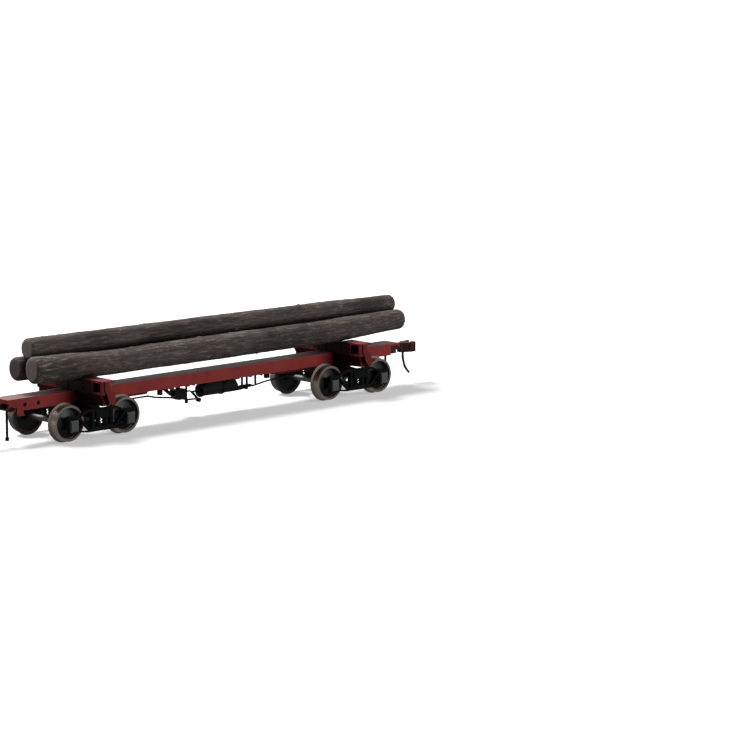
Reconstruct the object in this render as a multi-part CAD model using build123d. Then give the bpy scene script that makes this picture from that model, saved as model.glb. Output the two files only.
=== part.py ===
"""Skeleton log flat car, HO scale (1:87), with arch-bar trucks, knuckle couplers and three logs.

Millimetres. +X runs along the car, +Y across it and +Z up. The origin is under the middle of the
car, level with the bottoms of the wheel flanges. End a is the -X end and end b the +X end.
"""
from build123d import *
import math
import os

# ---- Wheels and axles ----
TREAD_DIA = 9.6
FLANGE_DEPTH = 0.5
FLANGE_WIDTH = 0.75
WHEEL_WIDTH = 2.8
BACK_TO_BACK = 14.4
RIM_DEPTH = 0.6
WEB_RECESS_AT_RIM = 1.1
WEB_RECESS_AT_HUB = 0.35
WEB_RECESS_BACK = 0.8
HUB_DIA = 2.6
HUB_PROUD = 0.1
AXLE_DIA = 1.6
JOURNAL_DIA = 1.0
JOURNAL_PLAY = 0.05
JOURNAL_END_PLAY = 0.2

# ---- Truck ----
TRUCK_SPACING = 94.0
WHEELBASE = 19.2
FRAME_SIDE_PLAY = 0.7
BAR_WIDTH = 1.3
BAR_THICKNESS = 0.5
TIE_THICKNESS = 0.35
BAR_SEAT_LENGTH = 3.8
TIE_OVERHANG = 1.4
TOP_BAR_FLAT = 9.8
LOWER_BAR_FLAT = 8.2
TIE_FLAT = 10.0
LOWER_BAR_DROP = 1.85
ARCH_RISE = 1.2
COLUMN_SPACING = 6.2
COLUMN_WIDTH = 0.9
BOLT_DIA = 0.4
BOLT_HEAD_DIA = 0.8
BOLT_HEAD = 0.25
JOURNAL_BOX_LENGTH = 2.6
JOURNAL_BOX_DEPTH = 1.9
JOURNAL_BOX_INSET = 0.2
JOURNAL_BOX_ABOVE = 1.05
JOURNAL_BOX_BELOW = 2.0
JOURNAL_LID_SLOPE = 0.35
JOURNAL_LID_LIFT = 0.3
JOURNAL_LID_INSET = 0.15
JOURNAL_HINGE_DIA = 0.45
JOURNAL_LID = 0.25
TRUCK_BOLSTER_WIDTH = 4.5
TRUCK_BOLSTER_LENGTH = 24.4
TRUCK_BOLSTER_END_DEPTH = 1.9
TRUCK_BOLSTER_SAG = 0.6
TRUCK_BOLSTER_CROWN = 0.4
SPRING_DIA = 1.9
SPRING_HEIGHT = 2.2
SPRING_SPACING = 2.3
SPRING_COILS = 3
SPRING_GROOVE = 0.3
PLANK_WIDTH = 5.0
PLANK_THICKNESS = 0.4
PLANK_END_INSET = 0.1
CENTRE_PLATE_DIA = 4.4
CENTRE_PLATE_GAP = 0.03
KING_PIN_DIA = 1.8
KING_PIN_PLAY = 0.05
KING_PIN_HEAD_DIA = 3.0
KING_PIN_HEAD = 0.8

# ---- Centre sill ----
SILL_LENGTH = 143.0
SILL_BOTTOM = 9.1
SILL_HEIGHT = 3.0
SILL_WIDTH = 6.0
SILL_WEB = 0.5
SILL_FLANGE = 0.8
SILL_FLANGE_THICKNESS = 0.4
COVER_THICKNESS = 0.3
COVER_OVERHANG = 0.05
END_BAND_DEPTH = 1.1
END_BAND_THICKNESS = 0.4
END_NOTCH_LENGTH = 3.0
END_HOLE_DIA = 1.1
END_HOLES = (5.3, 9.8)
SPACER_THICKNESS = 1.2
SPACER_PLACES = (-30.0, -20.5, -1.0, 18.7, 30.0)
STEP_WIDTH = 2.2
STEP_FROM_END = 2.4
STEP_DROP = 1.2
STEP_RISE = 0.9
STEP_THICKNESS = 0.35

# ---- Body bolsters and log bunks ----
BODY_BOLSTER_WIDTH = 3.4
BODY_BOLSTER_WEB = 2.2
BODY_BOLSTER_CAP = 1.0
BODY_BOLSTER_INSET = 1.0
BODY_BOLSTER_END_DEPTH = 3.1
BODY_BOLSTER_PLATE = 0.2
DOUBLER_LENGTH = 23.4
DOUBLER_FROM_TRUCK = 5.0
DOUBLER_DEPTH = 0.6
BUNK_LENGTH = 29.0
BUNK_WIDTH = 4.5
BUNK_WEB = 1.0
BUNK_FLANGE = 0.5
BUNK_STIFFENER = 0.6
BUNK_SEAT_HEIGHT = 2.75
BUNK_WING_HEIGHT = 3.65
BUNK_SEAT_LENGTH = 10.8
BUNK_RAMP = 1.05
LUG_THICKNESS = 0.45
LUG_LEFT_INSET = 0.65
LUG_RIGHT_INSET = 0.25
LUG_STRIP_WIDTH = 1.7
LUG_TOP_INSET = 0.1
LUG_LEDGE = 1.0
LUG_FLARE = 0.5
LUG_WAIST_DROP = 1.1
LUG_FOOT_WIDTH = 0.6

# ---- Draft gear and couplers ----
COUPLER_REACH = 7.2
HEAD_DROP = 0.2
HEAD_HEIGHT = 2.8
EAR_THICKNESS = 0.5
EAR_RADIUS = 0.75
HEAD_ROOT = 4.4
HEAD_ROOT_LENGTH = 0.9
KNUCKLE_CLEARANCE = 0.1
KNUCKLE_PIN_DIA = 0.6
KNUCKLE_PIN_PLAY = 0.05
KNUCKLE_OPEN = 18.0
TRIP_PIN_DIA = 0.6
TRIP_PIN_BEND = 2.2
# Each place of the hanging wire: how far it leans from its top, and its height.
TRIP_PIN_ROUTE = ((0.0, 7.2), (0.9, 4.6), (2.6, 3.2))
SHANK_ABOVE_SILL = 1.45
SHANK_WIDTH = 1.5
SHANK_THICKNESS = 1.2
SHANK_RING_DIA = 3.1
SHANK_SLIP = 0.05
POST_FROM_END = 8.9
POST_DIA = 1.9
POST_PLAY = 0.05
DRAFT_BOX_REAR = 2.1
DRAFT_BOX_WIDTH = 4.3
DRAFT_BOX_WALL = 0.4
DRAFT_LID = 0.6
DRAFT_SCREW_DIA = 0.9
DRAFT_SCREW_HEAD_DIA = 1.7
DRAFT_SCREW_HEAD = 0.35
WHISKER = 0.18
WHISKER_HEIGHT = 0.6
WHISKER_FROM_RING = 0.3
WHISKER_HOLD = 0.7
WHISKER_LENGTH = 2.3
WHISKER_SPREAD = 0.4

# ---- Brake gear under the sill ----
BRAKE_DROP = 2.5
CYLINDER_START = -2.8
CYLINDER_LENGTH = 8.0
CYLINDER_DIA = 3.7
CYLINDER_RIM = 0.2
CYLINDER_RIM_WIDTH = 0.5
CYLINDER_BOSS_DIA = 1.2
CYLINDER_BOSS = 0.6
CYLINDER_SADDLE_INSETS = (1.0, 0.8)
RESERVOIR_DIA = 3.2
RESERVOIR_LENGTH = 5.6
RESERVOIR_CHAMFER = 0.7
RESERVOIR_SADDLE_INSETS = (0.8, 1.2)
SADDLE_WIDTH = 2.6
SADDLE_ABOVE_AXIS = 0.6
LEVER_POST_X = -6.95
LEVER_POST_BEHIND = 0.45
LEVER_POST_WIDTH = 0.4
LEVER_POST_DROP = 5.6
LEVER_POST_FOOT_WIDTH = 0.9
LEVER_POST_FOOT = 1.0
LEVER_TOP = (-5.8, 2.25)
LEVER_FOOT = (-3.1, 5.0)
LEVER_WIDTH = 0.8
LEVER_THICKNESS = 0.35
LEVER_EYE_DIA = 1.2
LEVER_EYE_LENGTH = 1.0
LEVER_LINK_DROP = 2.1
LEVER_LINK = 0.25
VALVE_LENGTH = 4.1
VALVE_DROP = 1.5
VALVE_HEIGHT = 2.85
VALVE_BEHIND = 0.4
VALVE_DEPTH = 2.2
VALVE_CORNER = 1.3
VALVE_NECK_DIA = 1.2
VALVE_PIPE_REACH = 3.7
VALVE_PIPE_WIDTH = 1.3
VALVE_PIPE_DEPTH = 0.8
GUIDE_X = 13.9
GUIDE_LEG = 0.5
GUIDE_LEG_THICKNESS = 0.4
GUIDE_LEG_SPACING = 2.0
GUIDE_DROP = 3.9
GUIDE_FOOT = 0.4
ROD_DIA = 0.5
ROD_BEND = 3.0
ROD_CLEARANCE = 0.05
ROD_END_FROM_TRUCK = 14.0
# Places along the car, each with its drop below the sills.
FLOATING_LEVER = ((11.1, 4.1), (11.1, 3.5), (12.0, 2.7), (16.0, 2.7), (16.9, 3.1), (16.9, 3.5))
LEFT_ROD = ((-4.3, 4.6), (-7.0, 4.5), (-10.9, 3.55), (-18.8, 2.5), (-21.3, 1.85))
LEFT_ROD_END_DROP = 1.9
RIGHT_ROD_START_DROP = 3.4
RIGHT_ROD = ((21.7, 2.7), (24.0, 2.5))
RIGHT_ROD_END_DROP = 2.1
LEFT_STUB_X = -17.0
LEFT_STUB = (1.1, 2.05)
RIGHT_STUB_FROM_DOUBLER = 1.3
RIGHT_STUB = (1.2, 1.8)
ROD_STEM_X = 18.0
ROD_STEM_FROM_TRUCK = 17.0
ROD_STEM = (0.4, 0.5)
STRAP_THICKNESS = 0.3
STRAP_INSET = 0.1
FIT_GAP = 0.02

# ---- Air hoses ----
HOSE_DIA = 0.7
HOSE_END = 1.8
HOSE_REACH = 1.0
HOSE_HOLD = 1.6
HOSE_BEND = 0.7
HOSE_ABOVE_SILL = 0.8
HOSE_CLAMP_FROM_END = 0.4
HOSE_CLAMP_LENGTH = 0.7
HOSE_CLAMP_WALL = 0.1
GLADHAND_DIA = 1.05
GLADHAND_LENGTH = 0.9

# ---- Logs ----
LOG_START = -63.7
LOG_STATIONS = (0.0, 0.12, 0.5, 0.82, 1.0)
LOG_NEAR_DIAS = (6.95, 7.7, 7.8, 7.6, 6.2)
LOG_FAR_DIAS = (6.65, 6.9, 7.0, 6.9, 6.4)
LOG_TOP_DIAS = (6.2, 6.1, 5.75, 5.6, 5.7)
LOG_END_LIFTS = (0.3, 0.0, 0.0, 0.0, 0.3)
LOG_LENGTHS = (134.4, 133.7, 133.4)
LOG_NEAR_Y = -3.95
LOG_FAR_Y = 3.75
LOG_TOP_SHIFT = 1.1
LOG_GAP = 0.1
LOG_END_ROUND = 0.5

# ---- Heights and places that follow from the sizes above ----
AXLE_Z = TREAD_DIA / 2 + FLANGE_DEPTH
WHEEL_BACK = BACK_TO_BACK / 2
WHEEL_FRONT = WHEEL_BACK + WHEEL_WIDTH
FRAME_IN = WHEEL_FRONT + FRAME_SIDE_PLAY
FRAME_OUT = FRAME_IN + BAR_WIDTH
FRAME_MID = (FRAME_IN + FRAME_OUT) / 2
BOX_TOP = AXLE_Z + JOURNAL_BOX_ABOVE
BOX_BOTTOM = AXLE_Z - JOURNAL_BOX_BELOW
BOX_IN = FRAME_IN - JOURNAL_BOX_INSET
BOX_OUT = BOX_IN + JOURNAL_BOX_DEPTH
LOWER_BAR_TOP = AXLE_Z - LOWER_BAR_DROP
LOWER_BAR_Z = LOWER_BAR_TOP - BAR_THICKNESS / 2
PLANK_TOP = LOWER_BAR_TOP + PLANK_THICKNESS
SPRING_TOP = PLANK_TOP + SPRING_HEIGHT
BOLSTER_END_TOP = SPRING_TOP + TRUCK_BOLSTER_END_DEPTH
BOLSTER_BOTTOM = SPRING_TOP - TRUCK_BOLSTER_SAG
BOLSTER_TOP = BOLSTER_END_TOP + TRUCK_BOLSTER_CROWN
TOP_BAR_OUTER = BOX_TOP + BAR_THICKNESS * 1.5
TOP_BAR_MID = TOP_BAR_OUTER + ARCH_RISE
SILL_TOP = SILL_BOTTOM + SILL_HEIGHT
DECK_TOP = SILL_TOP + COVER_THICKNESS
BODY_PLATE_BOTTOM = SILL_BOTTOM - BODY_BOLSTER_PLATE
END_X = SILL_LENGTH / 2
SILL_END = END_X - END_BAND_THICKNESS
WEB_IN = SILL_WIDTH / 2 - SILL_WEB
FLANGE_IN = SILL_WIDTH / 2 - SILL_FLANGE
BUNK_SEAT = DECK_TOP + BUNK_SEAT_HEIGHT
BUNK_TOP = DECK_TOP + BUNK_WING_HEIGHT
POST_X = END_X - POST_FROM_END
COUPLING_X = END_X + COUPLER_REACH
SHANK_CENTRE = SILL_BOTTOM + SHANK_ABOVE_SILL
HEAD_CENTRE = SHANK_CENTRE - HEAD_DROP
SHANK_BOTTOM = SHANK_CENTRE - SHANK_THICKNESS / 2
SHANK_TOP = SHANK_CENTRE + SHANK_THICKNESS / 2
LID_TOP = SHANK_BOTTOM - SHANK_SLIP
LID_BOTTOM = LID_TOP - DRAFT_LID
POCKET_TOP = SHANK_TOP + SHANK_SLIP
STRAP_BOTTOM = SILL_BOTTOM - STRAP_THICKNESS
BRAKE_AXIS = SILL_BOTTOM - BRAKE_DROP
CYLINDER_END = CYLINDER_START + CYLINDER_LENGTH
RESERVOIR_END = CYLINDER_END + RESERVOIR_LENGTH
VALVE_END = LEVER_POST_X - LEVER_POST_WIDTH / 2 - ROD_CLEARANCE
DOUBLER_BOTTOM = SILL_BOTTOM - DOUBLER_DEPTH
DOUBLER_END = TRUCK_SPACING / 2 - DOUBLER_LENGTH
ROD_END = TRUCK_SPACING / 2 - ROD_END_FROM_TRUCK
TRUCKS = {"a": -TRUCK_SPACING / 2, "b": TRUCK_SPACING / 2}
ENDS = {"a": 180, "b": 0}

os.makedirs("parts", exist_ok=True)


# ---- Drawing helpers ----
def block(x, y, z):
    """A box between (low, high) pairs along each axis."""
    centre = [(low + high) / 2 for low, high in (x, y, z)]
    return Pos(*centre) * Box(x[1] - x[0], y[1] - y[0], z[1] - z[0])


def rod_x(x, y, z, diameter):
    return Pos((x[0] + x[1]) / 2, y, z) * Rot(0, 90, 0) * Cylinder(diameter / 2, x[1] - x[0])


def rod_y(x, y, z, diameter):
    return Pos(x, (y[0] + y[1]) / 2, z) * Rot(90, 0, 0) * Cylinder(diameter / 2, y[1] - y[0])


def rod_z(x, y, z, diameter):
    return Pos(x, y, (z[0] + z[1]) / 2) * Cylinder(diameter / 2, z[1] - z[0])


def hex_z(x, y, z, diameter):
    """A hexagon bolt head or nut."""
    outline = Pos(x, y, z[0]) * RegularPolygon(diameter / 2, 6)
    return extrude(outline, amount=z[1] - z[0], dir=(0, 0, 1))


def prism_x(points, x):
    """A (y, z) outline drawn out from x[0] to x[1]."""
    outline = make_face(Polyline(*[(x[0], y, z) for y, z in points], close=True))
    return extrude(outline, amount=x[1] - x[0], dir=(1, 0, 0))


def prism_y(points, y):
    """An (x, z) outline drawn out from y[0] to y[1]."""
    outline = make_face(Polyline(*[(x, y[0], z) for x, z in points], close=True))
    return extrude(outline, amount=y[1] - y[0], dir=(0, 1, 0))


def prism_z(points, z):
    """An (x, y) outline drawn out from z[0] to z[1]."""
    outline = make_face(Polyline(*[(x, y, z[0]) for x, y in points], close=True))
    return extrude(outline, amount=z[1] - z[0], dir=(0, 0, 1))


def swept(points, radius, section, x_dir):
    """A section carried along straight runs with rounded corners."""
    path = FilletPolyline(*points, radius=radius)
    start = Plane(origin=path @ 0, x_dir=x_dir, z_dir=path % 0)
    return sweep(start * section, path=path)


def octagon(diameter):
    """The section of a thin wire or hose."""
    return RegularPolygon(diameter / 2, 8)


def mirrored(points):
    """The right-hand half of an outline, and its mirror image before it."""
    return [(-u, v) for u, v in reversed(points)] + list(points)


def both_sides(shape):
    return [shape, mirror(shape, about=Plane.XZ)]


def turned(shape, degrees=180):
    return Rot(0, 0, degrees) * shape


def save(name, *solids):
    shape = solids[0] if len(solids) == 1 else Compound(children=list(solids))
    export_step(shape, f"parts/{name}.step")


# ---- Wheelsets ----
def wheel():
    """A dished wheel on the Y axis, its back face at y = 0 and its front outwards along +Y."""
    tread = TREAD_DIA / 2
    flange = tread + FLANGE_DEPTH
    rim = tread - RIM_DEPTH
    hub = HUB_DIA / 2
    profile = [
        (AXLE_DIA / 2, 0),
        (hub, 0),
        (hub, WEB_RECESS_BACK),
        (rim, WEB_RECESS_BACK),
        (rim, 0),
        (flange - FLANGE_DEPTH * 0.4, 0),
        (flange, FLANGE_WIDTH / 2),
        (tread, FLANGE_WIDTH),
        (tread, WHEEL_WIDTH),
        (rim, WHEEL_WIDTH),
        (rim, WHEEL_WIDTH - WEB_RECESS_AT_RIM),
        (hub, WHEEL_WIDTH - WEB_RECESS_AT_HUB),
        (hub, WHEEL_WIDTH + HUB_PROUD),
        (AXLE_DIA / 2, WHEEL_WIDTH + HUB_PROUD),
    ]
    outline = make_face(Polyline(*[(r, y, 0) for r, y in profile], close=True))
    return revolve(outline, axis=Axis.Y)


def wheels(x):
    one = Pos(x, WHEEL_BACK, AXLE_Z) * wheel()
    return both_sides(one)


def axle(x):
    """A stepped axle with a journal at each end that stops short of the bottom of its box."""
    hub_end = WHEEL_FRONT + HUB_PROUD
    journal_end = FRAME_OUT - JOURNAL_END_PLAY
    shape = rod_y(x, (-hub_end, hub_end), AXLE_Z, AXLE_DIA)
    return shape + rod_y(x, (-journal_end, journal_end), AXLE_Z, JOURNAL_DIA)


# ---- Trucks, built about x = 0 ----
def strap_bar(points, thickness):
    """A flat iron bar bent in the XZ plane, lying in the near side frame."""
    route = [(x, -FRAME_MID, z) for x, z in mirrored(points)]
    return swept(route, BAR_THICKNESS, Rectangle(BAR_WIDTH, thickness), (0, 1, 0))


def arch_bars():
    """The near side frame: three bent bars, two columns and the journal box bolts."""
    seat_in = (WHEELBASE - BAR_SEAT_LENGTH) / 2
    seat_out = (WHEELBASE + BAR_SEAT_LENGTH) / 2
    tie_end = WHEELBASE / 2 + TIE_OVERHANG
    tie_outer = BOX_BOTTOM - TIE_THICKNESS / 2
    tie_mid = LOWER_BAR_Z - (BAR_THICKNESS + TIE_THICKNESS) / 2
    lower_outer = BOX_TOP + BAR_THICKNESS / 2
    top = [(TOP_BAR_FLAT / 2, TOP_BAR_MID), (seat_in, TOP_BAR_OUTER), (seat_out, TOP_BAR_OUTER)]
    low = [(LOWER_BAR_FLAT / 2, LOWER_BAR_Z), (seat_in, lower_outer), (seat_out, lower_outer)]
    tie = [(TIE_FLAT / 2, tie_mid), (seat_in, tie_outer), (tie_end, tie_outer)]
    frame = strap_bar(top, BAR_THICKNESS) + strap_bar(low, BAR_THICKNESS)
    frame += strap_bar(tie, TIE_THICKNESS)
    column_top = TOP_BAR_MID - BAR_THICKNESS / 2
    for side in (-1, 1):
        x = side * COLUMN_SPACING / 2
        span = (x - COLUMN_WIDTH / 2, x + COLUMN_WIDTH / 2)
        frame += block(span, (-FRAME_OUT, -FRAME_IN), (LOWER_BAR_TOP, column_top))
    bolt_from_box = JOURNAL_BOX_LENGTH / 2 + BOLT_DIA / 2 + JOURNAL_PLAY
    bolt_top = TOP_BAR_OUTER + BAR_THICKNESS / 2 + BOLT_HEAD
    bolt_bottom = tie_outer - TIE_THICKNESS / 2 - BOLT_HEAD
    for side in (-1, 1):
        for offset in (-bolt_from_box, bolt_from_box):
            x = side * WHEELBASE / 2 + offset
            frame += rod_z(x, -FRAME_MID, (bolt_bottom, bolt_top), BOLT_DIA)
            for low_end in (bolt_bottom, bolt_top - BOLT_HEAD):
                frame += hex_z(x, -FRAME_MID, (low_end, low_end + BOLT_HEAD), BOLT_HEAD_DIA)
    return frame


def journal_box(x):
    """A near journal box: a blind bore for the axle and a sloping lid on a hinge."""
    half = JOURNAL_BOX_LENGTH / 2
    body_out = BOX_OUT - JOURNAL_LID
    lid_low = BOX_BOTTOM + JOURNAL_LID_LIFT
    body = block((x - half, x + half), (-body_out, -BOX_IN), (BOX_BOTTOM, BOX_TOP))
    lid = prism_x(
        [
            (-body_out, BOX_TOP),
            (-BOX_OUT, BOX_TOP - JOURNAL_LID_SLOPE),
            (-BOX_OUT, lid_low),
            (-body_out, lid_low - JOURNAL_LID),
        ],
        (x - half + JOURNAL_LID_INSET, x + half - JOURNAL_LID_INSET),
    )
    hinge_z = BOX_TOP - JOURNAL_HINGE_DIA / 2
    hinge = rod_x((x - half * 0.6, x + half * 0.6), -body_out, hinge_z, JOURNAL_HINGE_DIA)
    bore = rod_y(x, (-FRAME_OUT, -BOX_IN), AXLE_Z, JOURNAL_DIA + 2 * JOURNAL_PLAY)
    return body + lid + hinge - bore


def truck_bolster():
    """A cast cross member, deep in the middle, with the lower centre plate on top."""
    half = TRUCK_BOLSTER_LENGTH / 2
    outline = [
        (half, SPRING_TOP),
        (half, BOLSTER_END_TOP),
        (FRAME_IN - FRAME_SIDE_PLAY, BOLSTER_END_TOP),
        (CENTRE_PLATE_DIA, BOLSTER_TOP),
    ]
    under = [(CENTRE_PLATE_DIA, BOLSTER_BOTTOM), (FRAME_IN - BAR_WIDTH, SPRING_TOP)]
    right = under + outline
    left = [(-y, z) for y, z in reversed(right)]
    width = (-TRUCK_BOLSTER_WIDTH / 2, TRUCK_BOLSTER_WIDTH / 2)
    bolster = prism_x(right + left, width)
    plate_top = BODY_PLATE_BOTTOM - CENTRE_PLATE_GAP
    bolster += rod_z(0, 0, (BOLSTER_TOP, plate_top), CENTRE_PLATE_DIA)
    bore = KING_PIN_DIA + 2 * KING_PIN_PLAY
    return bolster - rod_z(0, 0, (BOLSTER_BOTTOM, plate_top), bore)


def spring_plank():
    """The cross plank under the springs, resting on both lower arch bars."""
    half = FRAME_OUT - PLANK_END_INSET
    return block((-PLANK_WIDTH / 2, PLANK_WIDTH / 2), (-half, half), (LOWER_BAR_TOP, PLANK_TOP))


def truck_spring(x, y):
    """A coil spring as a solid of revolution with a groove between its turns."""
    outer = SPRING_DIA / 2
    pitch = SPRING_HEIGHT / SPRING_COILS
    profile = [(0, PLANK_TOP), (outer - SPRING_GROOVE, PLANK_TOP)]
    for coil in range(SPRING_COILS):
        low = PLANK_TOP + coil * pitch
        profile += [(outer, low + pitch / 2), (outer - SPRING_GROOVE, low + pitch)]
    profile.append((0, SPRING_TOP))
    outline = make_face(Polyline(*[(r, 0, z) for r, z in profile], close=True))
    return Pos(x, y, 0) * revolve(outline, axis=Axis.Z)


def build_truck(end, centre):
    """One truck. Its far side frame is its near one turned about the king pin."""
    place = Pos(centre, 0, 0)
    near = arch_bars()
    boxes = [journal_box(side * WHEELBASE / 2) for side in (-1, 1)]
    boxes += [turned(box) for box in boxes]
    springs = [
        truck_spring(x, y)
        for y in (-FRAME_MID, FRAME_MID)
        for x in (-SPRING_SPACING / 2, SPRING_SPACING / 2)
    ]
    save(f"truck_bolster_{end}", place * truck_bolster())
    save(f"spring_plank_{end}", place * spring_plank())
    save(f"arch_bars_near_{end}", place * near)
    save(f"arch_bars_far_{end}", place * turned(near))
    save(f"journal_boxes_{end}", *[place * box for box in boxes])
    save(f"truck_springs_{end}", *[place * spring for spring in springs])
    for number, side in ((1, -1), (2, 1)):
        x = centre + side * WHEELBASE / 2
        save(f"axle_{end}{number}", axle(x))
        save(f"wheels_{end}{number}", *wheels(x))


# ---- Centre sill ----
def side_sill():
    """The near sill: a channel with its web outside, an end notch at +X and two holes at -X."""
    outer = -SILL_WIDTH / 2
    ends = (-SILL_END, SILL_END)
    low_flange = (SILL_BOTTOM, SILL_BOTTOM + SILL_FLANGE_THICKNESS)
    top_flange = (SILL_TOP - SILL_FLANGE_THICKNESS, SILL_TOP)
    sill = block(ends, (outer, -WEB_IN), (SILL_BOTTOM, SILL_TOP))
    sill += block(ends, (outer, -FLANGE_IN), low_flange)
    sill += block(ends, (outer, -FLANGE_IN), top_flange)
    notch = (SILL_END - END_NOTCH_LENGTH, SILL_END)
    sill -= block(notch, (outer, -FLANGE_IN), (SILL_BOTTOM, top_flange[0]))
    hole_z = (low_flange[1] + top_flange[0]) / 2
    for from_end in END_HOLES:
        sill -= rod_y(-SILL_END + from_end, (outer, -WEB_IN), hole_z, END_HOLE_DIA)
    return sill


def sill_cover_plate():
    """The thin top plate, with a band turned down over the mouth of each draft box."""
    half_width = SILL_WIDTH / 2 + COVER_OVERHANG
    plate = block((-END_X, END_X), (-half_width, half_width), (SILL_TOP, DECK_TOP))
    for side in (-1, 1):
        band = sorted((side * SILL_END, side * END_X))
        plate += block(band, (-half_width, half_width), (DECK_TOP - END_BAND_DEPTH, SILL_TOP))
    return plate


def sill_spacers():
    """Cross pieces between the two webs, clear of the flanges."""
    z = (SILL_BOTTOM + SILL_FLANGE_THICKNESS, SILL_TOP - SILL_FLANGE_THICKNESS)
    half = SPACER_THICKNESS / 2
    return [block((x - half, x + half), (-WEB_IN, WEB_IN), z) for x in SPACER_PLACES]


def sill_step():
    """A bracket step on the near sill at the -X end."""
    outer = -SILL_WIDTH / 2
    x0 = -SILL_END + STEP_FROM_END
    x1 = x0 + STEP_WIDTH
    step_z = SILL_BOTTOM - STEP_DROP
    plate = block((x0, x1), (outer - STEP_THICKNESS, outer), (step_z, SILL_BOTTOM + STEP_RISE))
    tread = (outer - 2 * STEP_THICKNESS, outer)
    return plate + block((x0, x1), tread, (step_z, step_z + STEP_THICKNESS))


# ---- Body bolsters and bunks, built about x = 0 ----
def body_bolster():
    """A cross member with arms of T section, and the plate under the sills that joins them."""
    half = BUNK_LENGTH / 2 - BODY_BOLSTER_INSET
    side = SILL_WIDTH / 2
    width = (-BODY_BOLSTER_WIDTH / 2, BODY_BOLSTER_WIDTH / 2)
    web = (-BODY_BOLSTER_WEB / 2, BODY_BOLSTER_WEB / 2)
    end_bottom = DECK_TOP - BODY_BOLSTER_END_DEPTH
    right = [(side, BODY_PLATE_BOTTOM), (half, end_bottom), (half, DECK_TOP)]
    left = [(-y, z) for y, z in reversed(right)]
    beam = prism_x(right + left, web)
    beam += block(width, (-half, half), (DECK_TOP - BODY_BOLSTER_CAP, DECK_TOP))
    beam -= block(width, (-side, side), (BODY_PLATE_BOTTOM, DECK_TOP))
    cover = side + COVER_OVERHANG
    beam -= block(width, (-cover, cover), (SILL_TOP, DECK_TOP))
    beam += block(width, (-side, side), (BODY_PLATE_BOTTOM, SILL_BOTTOM))
    beam += block(width, (-FLANGE_IN, FLANGE_IN), (SILL_BOTTOM, SILL_TOP))
    beam += rod_z(0, 0, (BODY_PLATE_BOTTOM, SILL_BOTTOM), CENTRE_PLATE_DIA)
    pin_top = SILL_BOTTOM + SILL_HEIGHT / 2
    bore = rod_z(0, 0, (BODY_PLATE_BOTTOM, pin_top), KING_PIN_DIA + 2 * FIT_GAP)
    return beam - bore


def sill_doubler():
    """A flat strip under the sills, here along +X of the truck, with a bevelled far end."""
    half = SILL_WIDTH / 2 - STRAP_INSET
    return prism_y(
        [
            (DOUBLER_FROM_TRUCK, SILL_BOTTOM),
            (DOUBLER_FROM_TRUCK, DOUBLER_BOTTOM),
            (DOUBLER_LENGTH - DOUBLER_DEPTH, DOUBLER_BOTTOM),
            (DOUBLER_LENGTH, SILL_BOTTOM),
        ],
        (-half, half),
    )


def king_pin():
    pin_top = SILL_BOTTOM + SILL_HEIGHT / 2 - FIT_GAP
    head_top = BOLSTER_BOTTOM - KING_PIN_PLAY
    pin = rod_z(0, 0, (head_top - KING_PIN_HEAD, pin_top), KING_PIN_DIA)
    return pin + rod_z(0, 0, (head_top - KING_PIN_HEAD, head_top), KING_PIN_HEAD_DIA)


def log_bunk():
    """A cross beam of I section with raised wings, and stiffeners between its recesses.

    The end recesses are closed by a stiffener on the -X side and open at the end on the +X side.
    """
    half = BUNK_LENGTH / 2
    seat = BUNK_SEAT_LENGTH / 2
    wing = seat + BUNK_RAMP
    width = (-BUNK_WIDTH / 2, BUNK_WIDTH / 2)
    right = [(half, DECK_TOP), (half, BUNK_TOP), (wing, BUNK_TOP), (seat, BUNK_SEAT)]
    left = [(-y, z) for y, z in reversed(right)]
    bunk = prism_x(right + left, width)
    low = DECK_TOP + BUNK_FLANGE
    middle = (wing + half) / 2
    faces = (
        ((-BUNK_WIDTH / 2, -BUNK_WEB / 2), half - BUNK_STIFFENER),
        ((BUNK_WEB / 2, BUNK_WIDTH / 2), half),
    )
    for x, outer_end in faces:
        pockets = (
            ((BUNK_STIFFENER / 2, seat - BUNK_STIFFENER), BUNK_SEAT - BUNK_FLANGE),
            ((wing, middle - BUNK_STIFFENER / 2), BUNK_TOP - BUNK_FLANGE),
            ((middle + BUNK_STIFFENER / 2, outer_end), BUNK_TOP - BUNK_FLANGE),
        )
        for (y0, y1), top in pockets:
            bunk -= block(x, (y0, y1), (low, top))
            bunk -= block(x, (-y1, -y0), (low, top))
    return bunk


def bunk_end_lug():
    """The casting on the near end of a bunk: an upright strip, a ledge and a flared foot."""
    outer = -BUNK_LENGTH / 2
    face = (outer - LUG_THICKNESS, outer)
    left = LUG_LEFT_INSET - BUNK_WIDTH / 2
    right = BUNK_WIDTH / 2 - LUG_RIGHT_INSET
    strip_right = left + LUG_STRIP_WIDTH
    ledge = DECK_TOP + LUG_LEDGE
    waist = DECK_TOP - LUG_WAIST_DROP
    foot_right = right - LUG_FOOT_WIDTH
    strip = block((left, strip_right), face, (ledge, BUNK_TOP - LUG_TOP_INSET))
    foot = prism_y(
        [
            (left, ledge),
            (right, ledge),
            (right + LUG_FLARE, waist),
            (foot_right, SILL_BOTTOM),
            (foot_right - LUG_FOOT_WIDTH, SILL_BOTTOM),
            (strip_right - LUG_LEDGE * 0.4, waist),
        ],
        face,
    )
    return strip + foot


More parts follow.
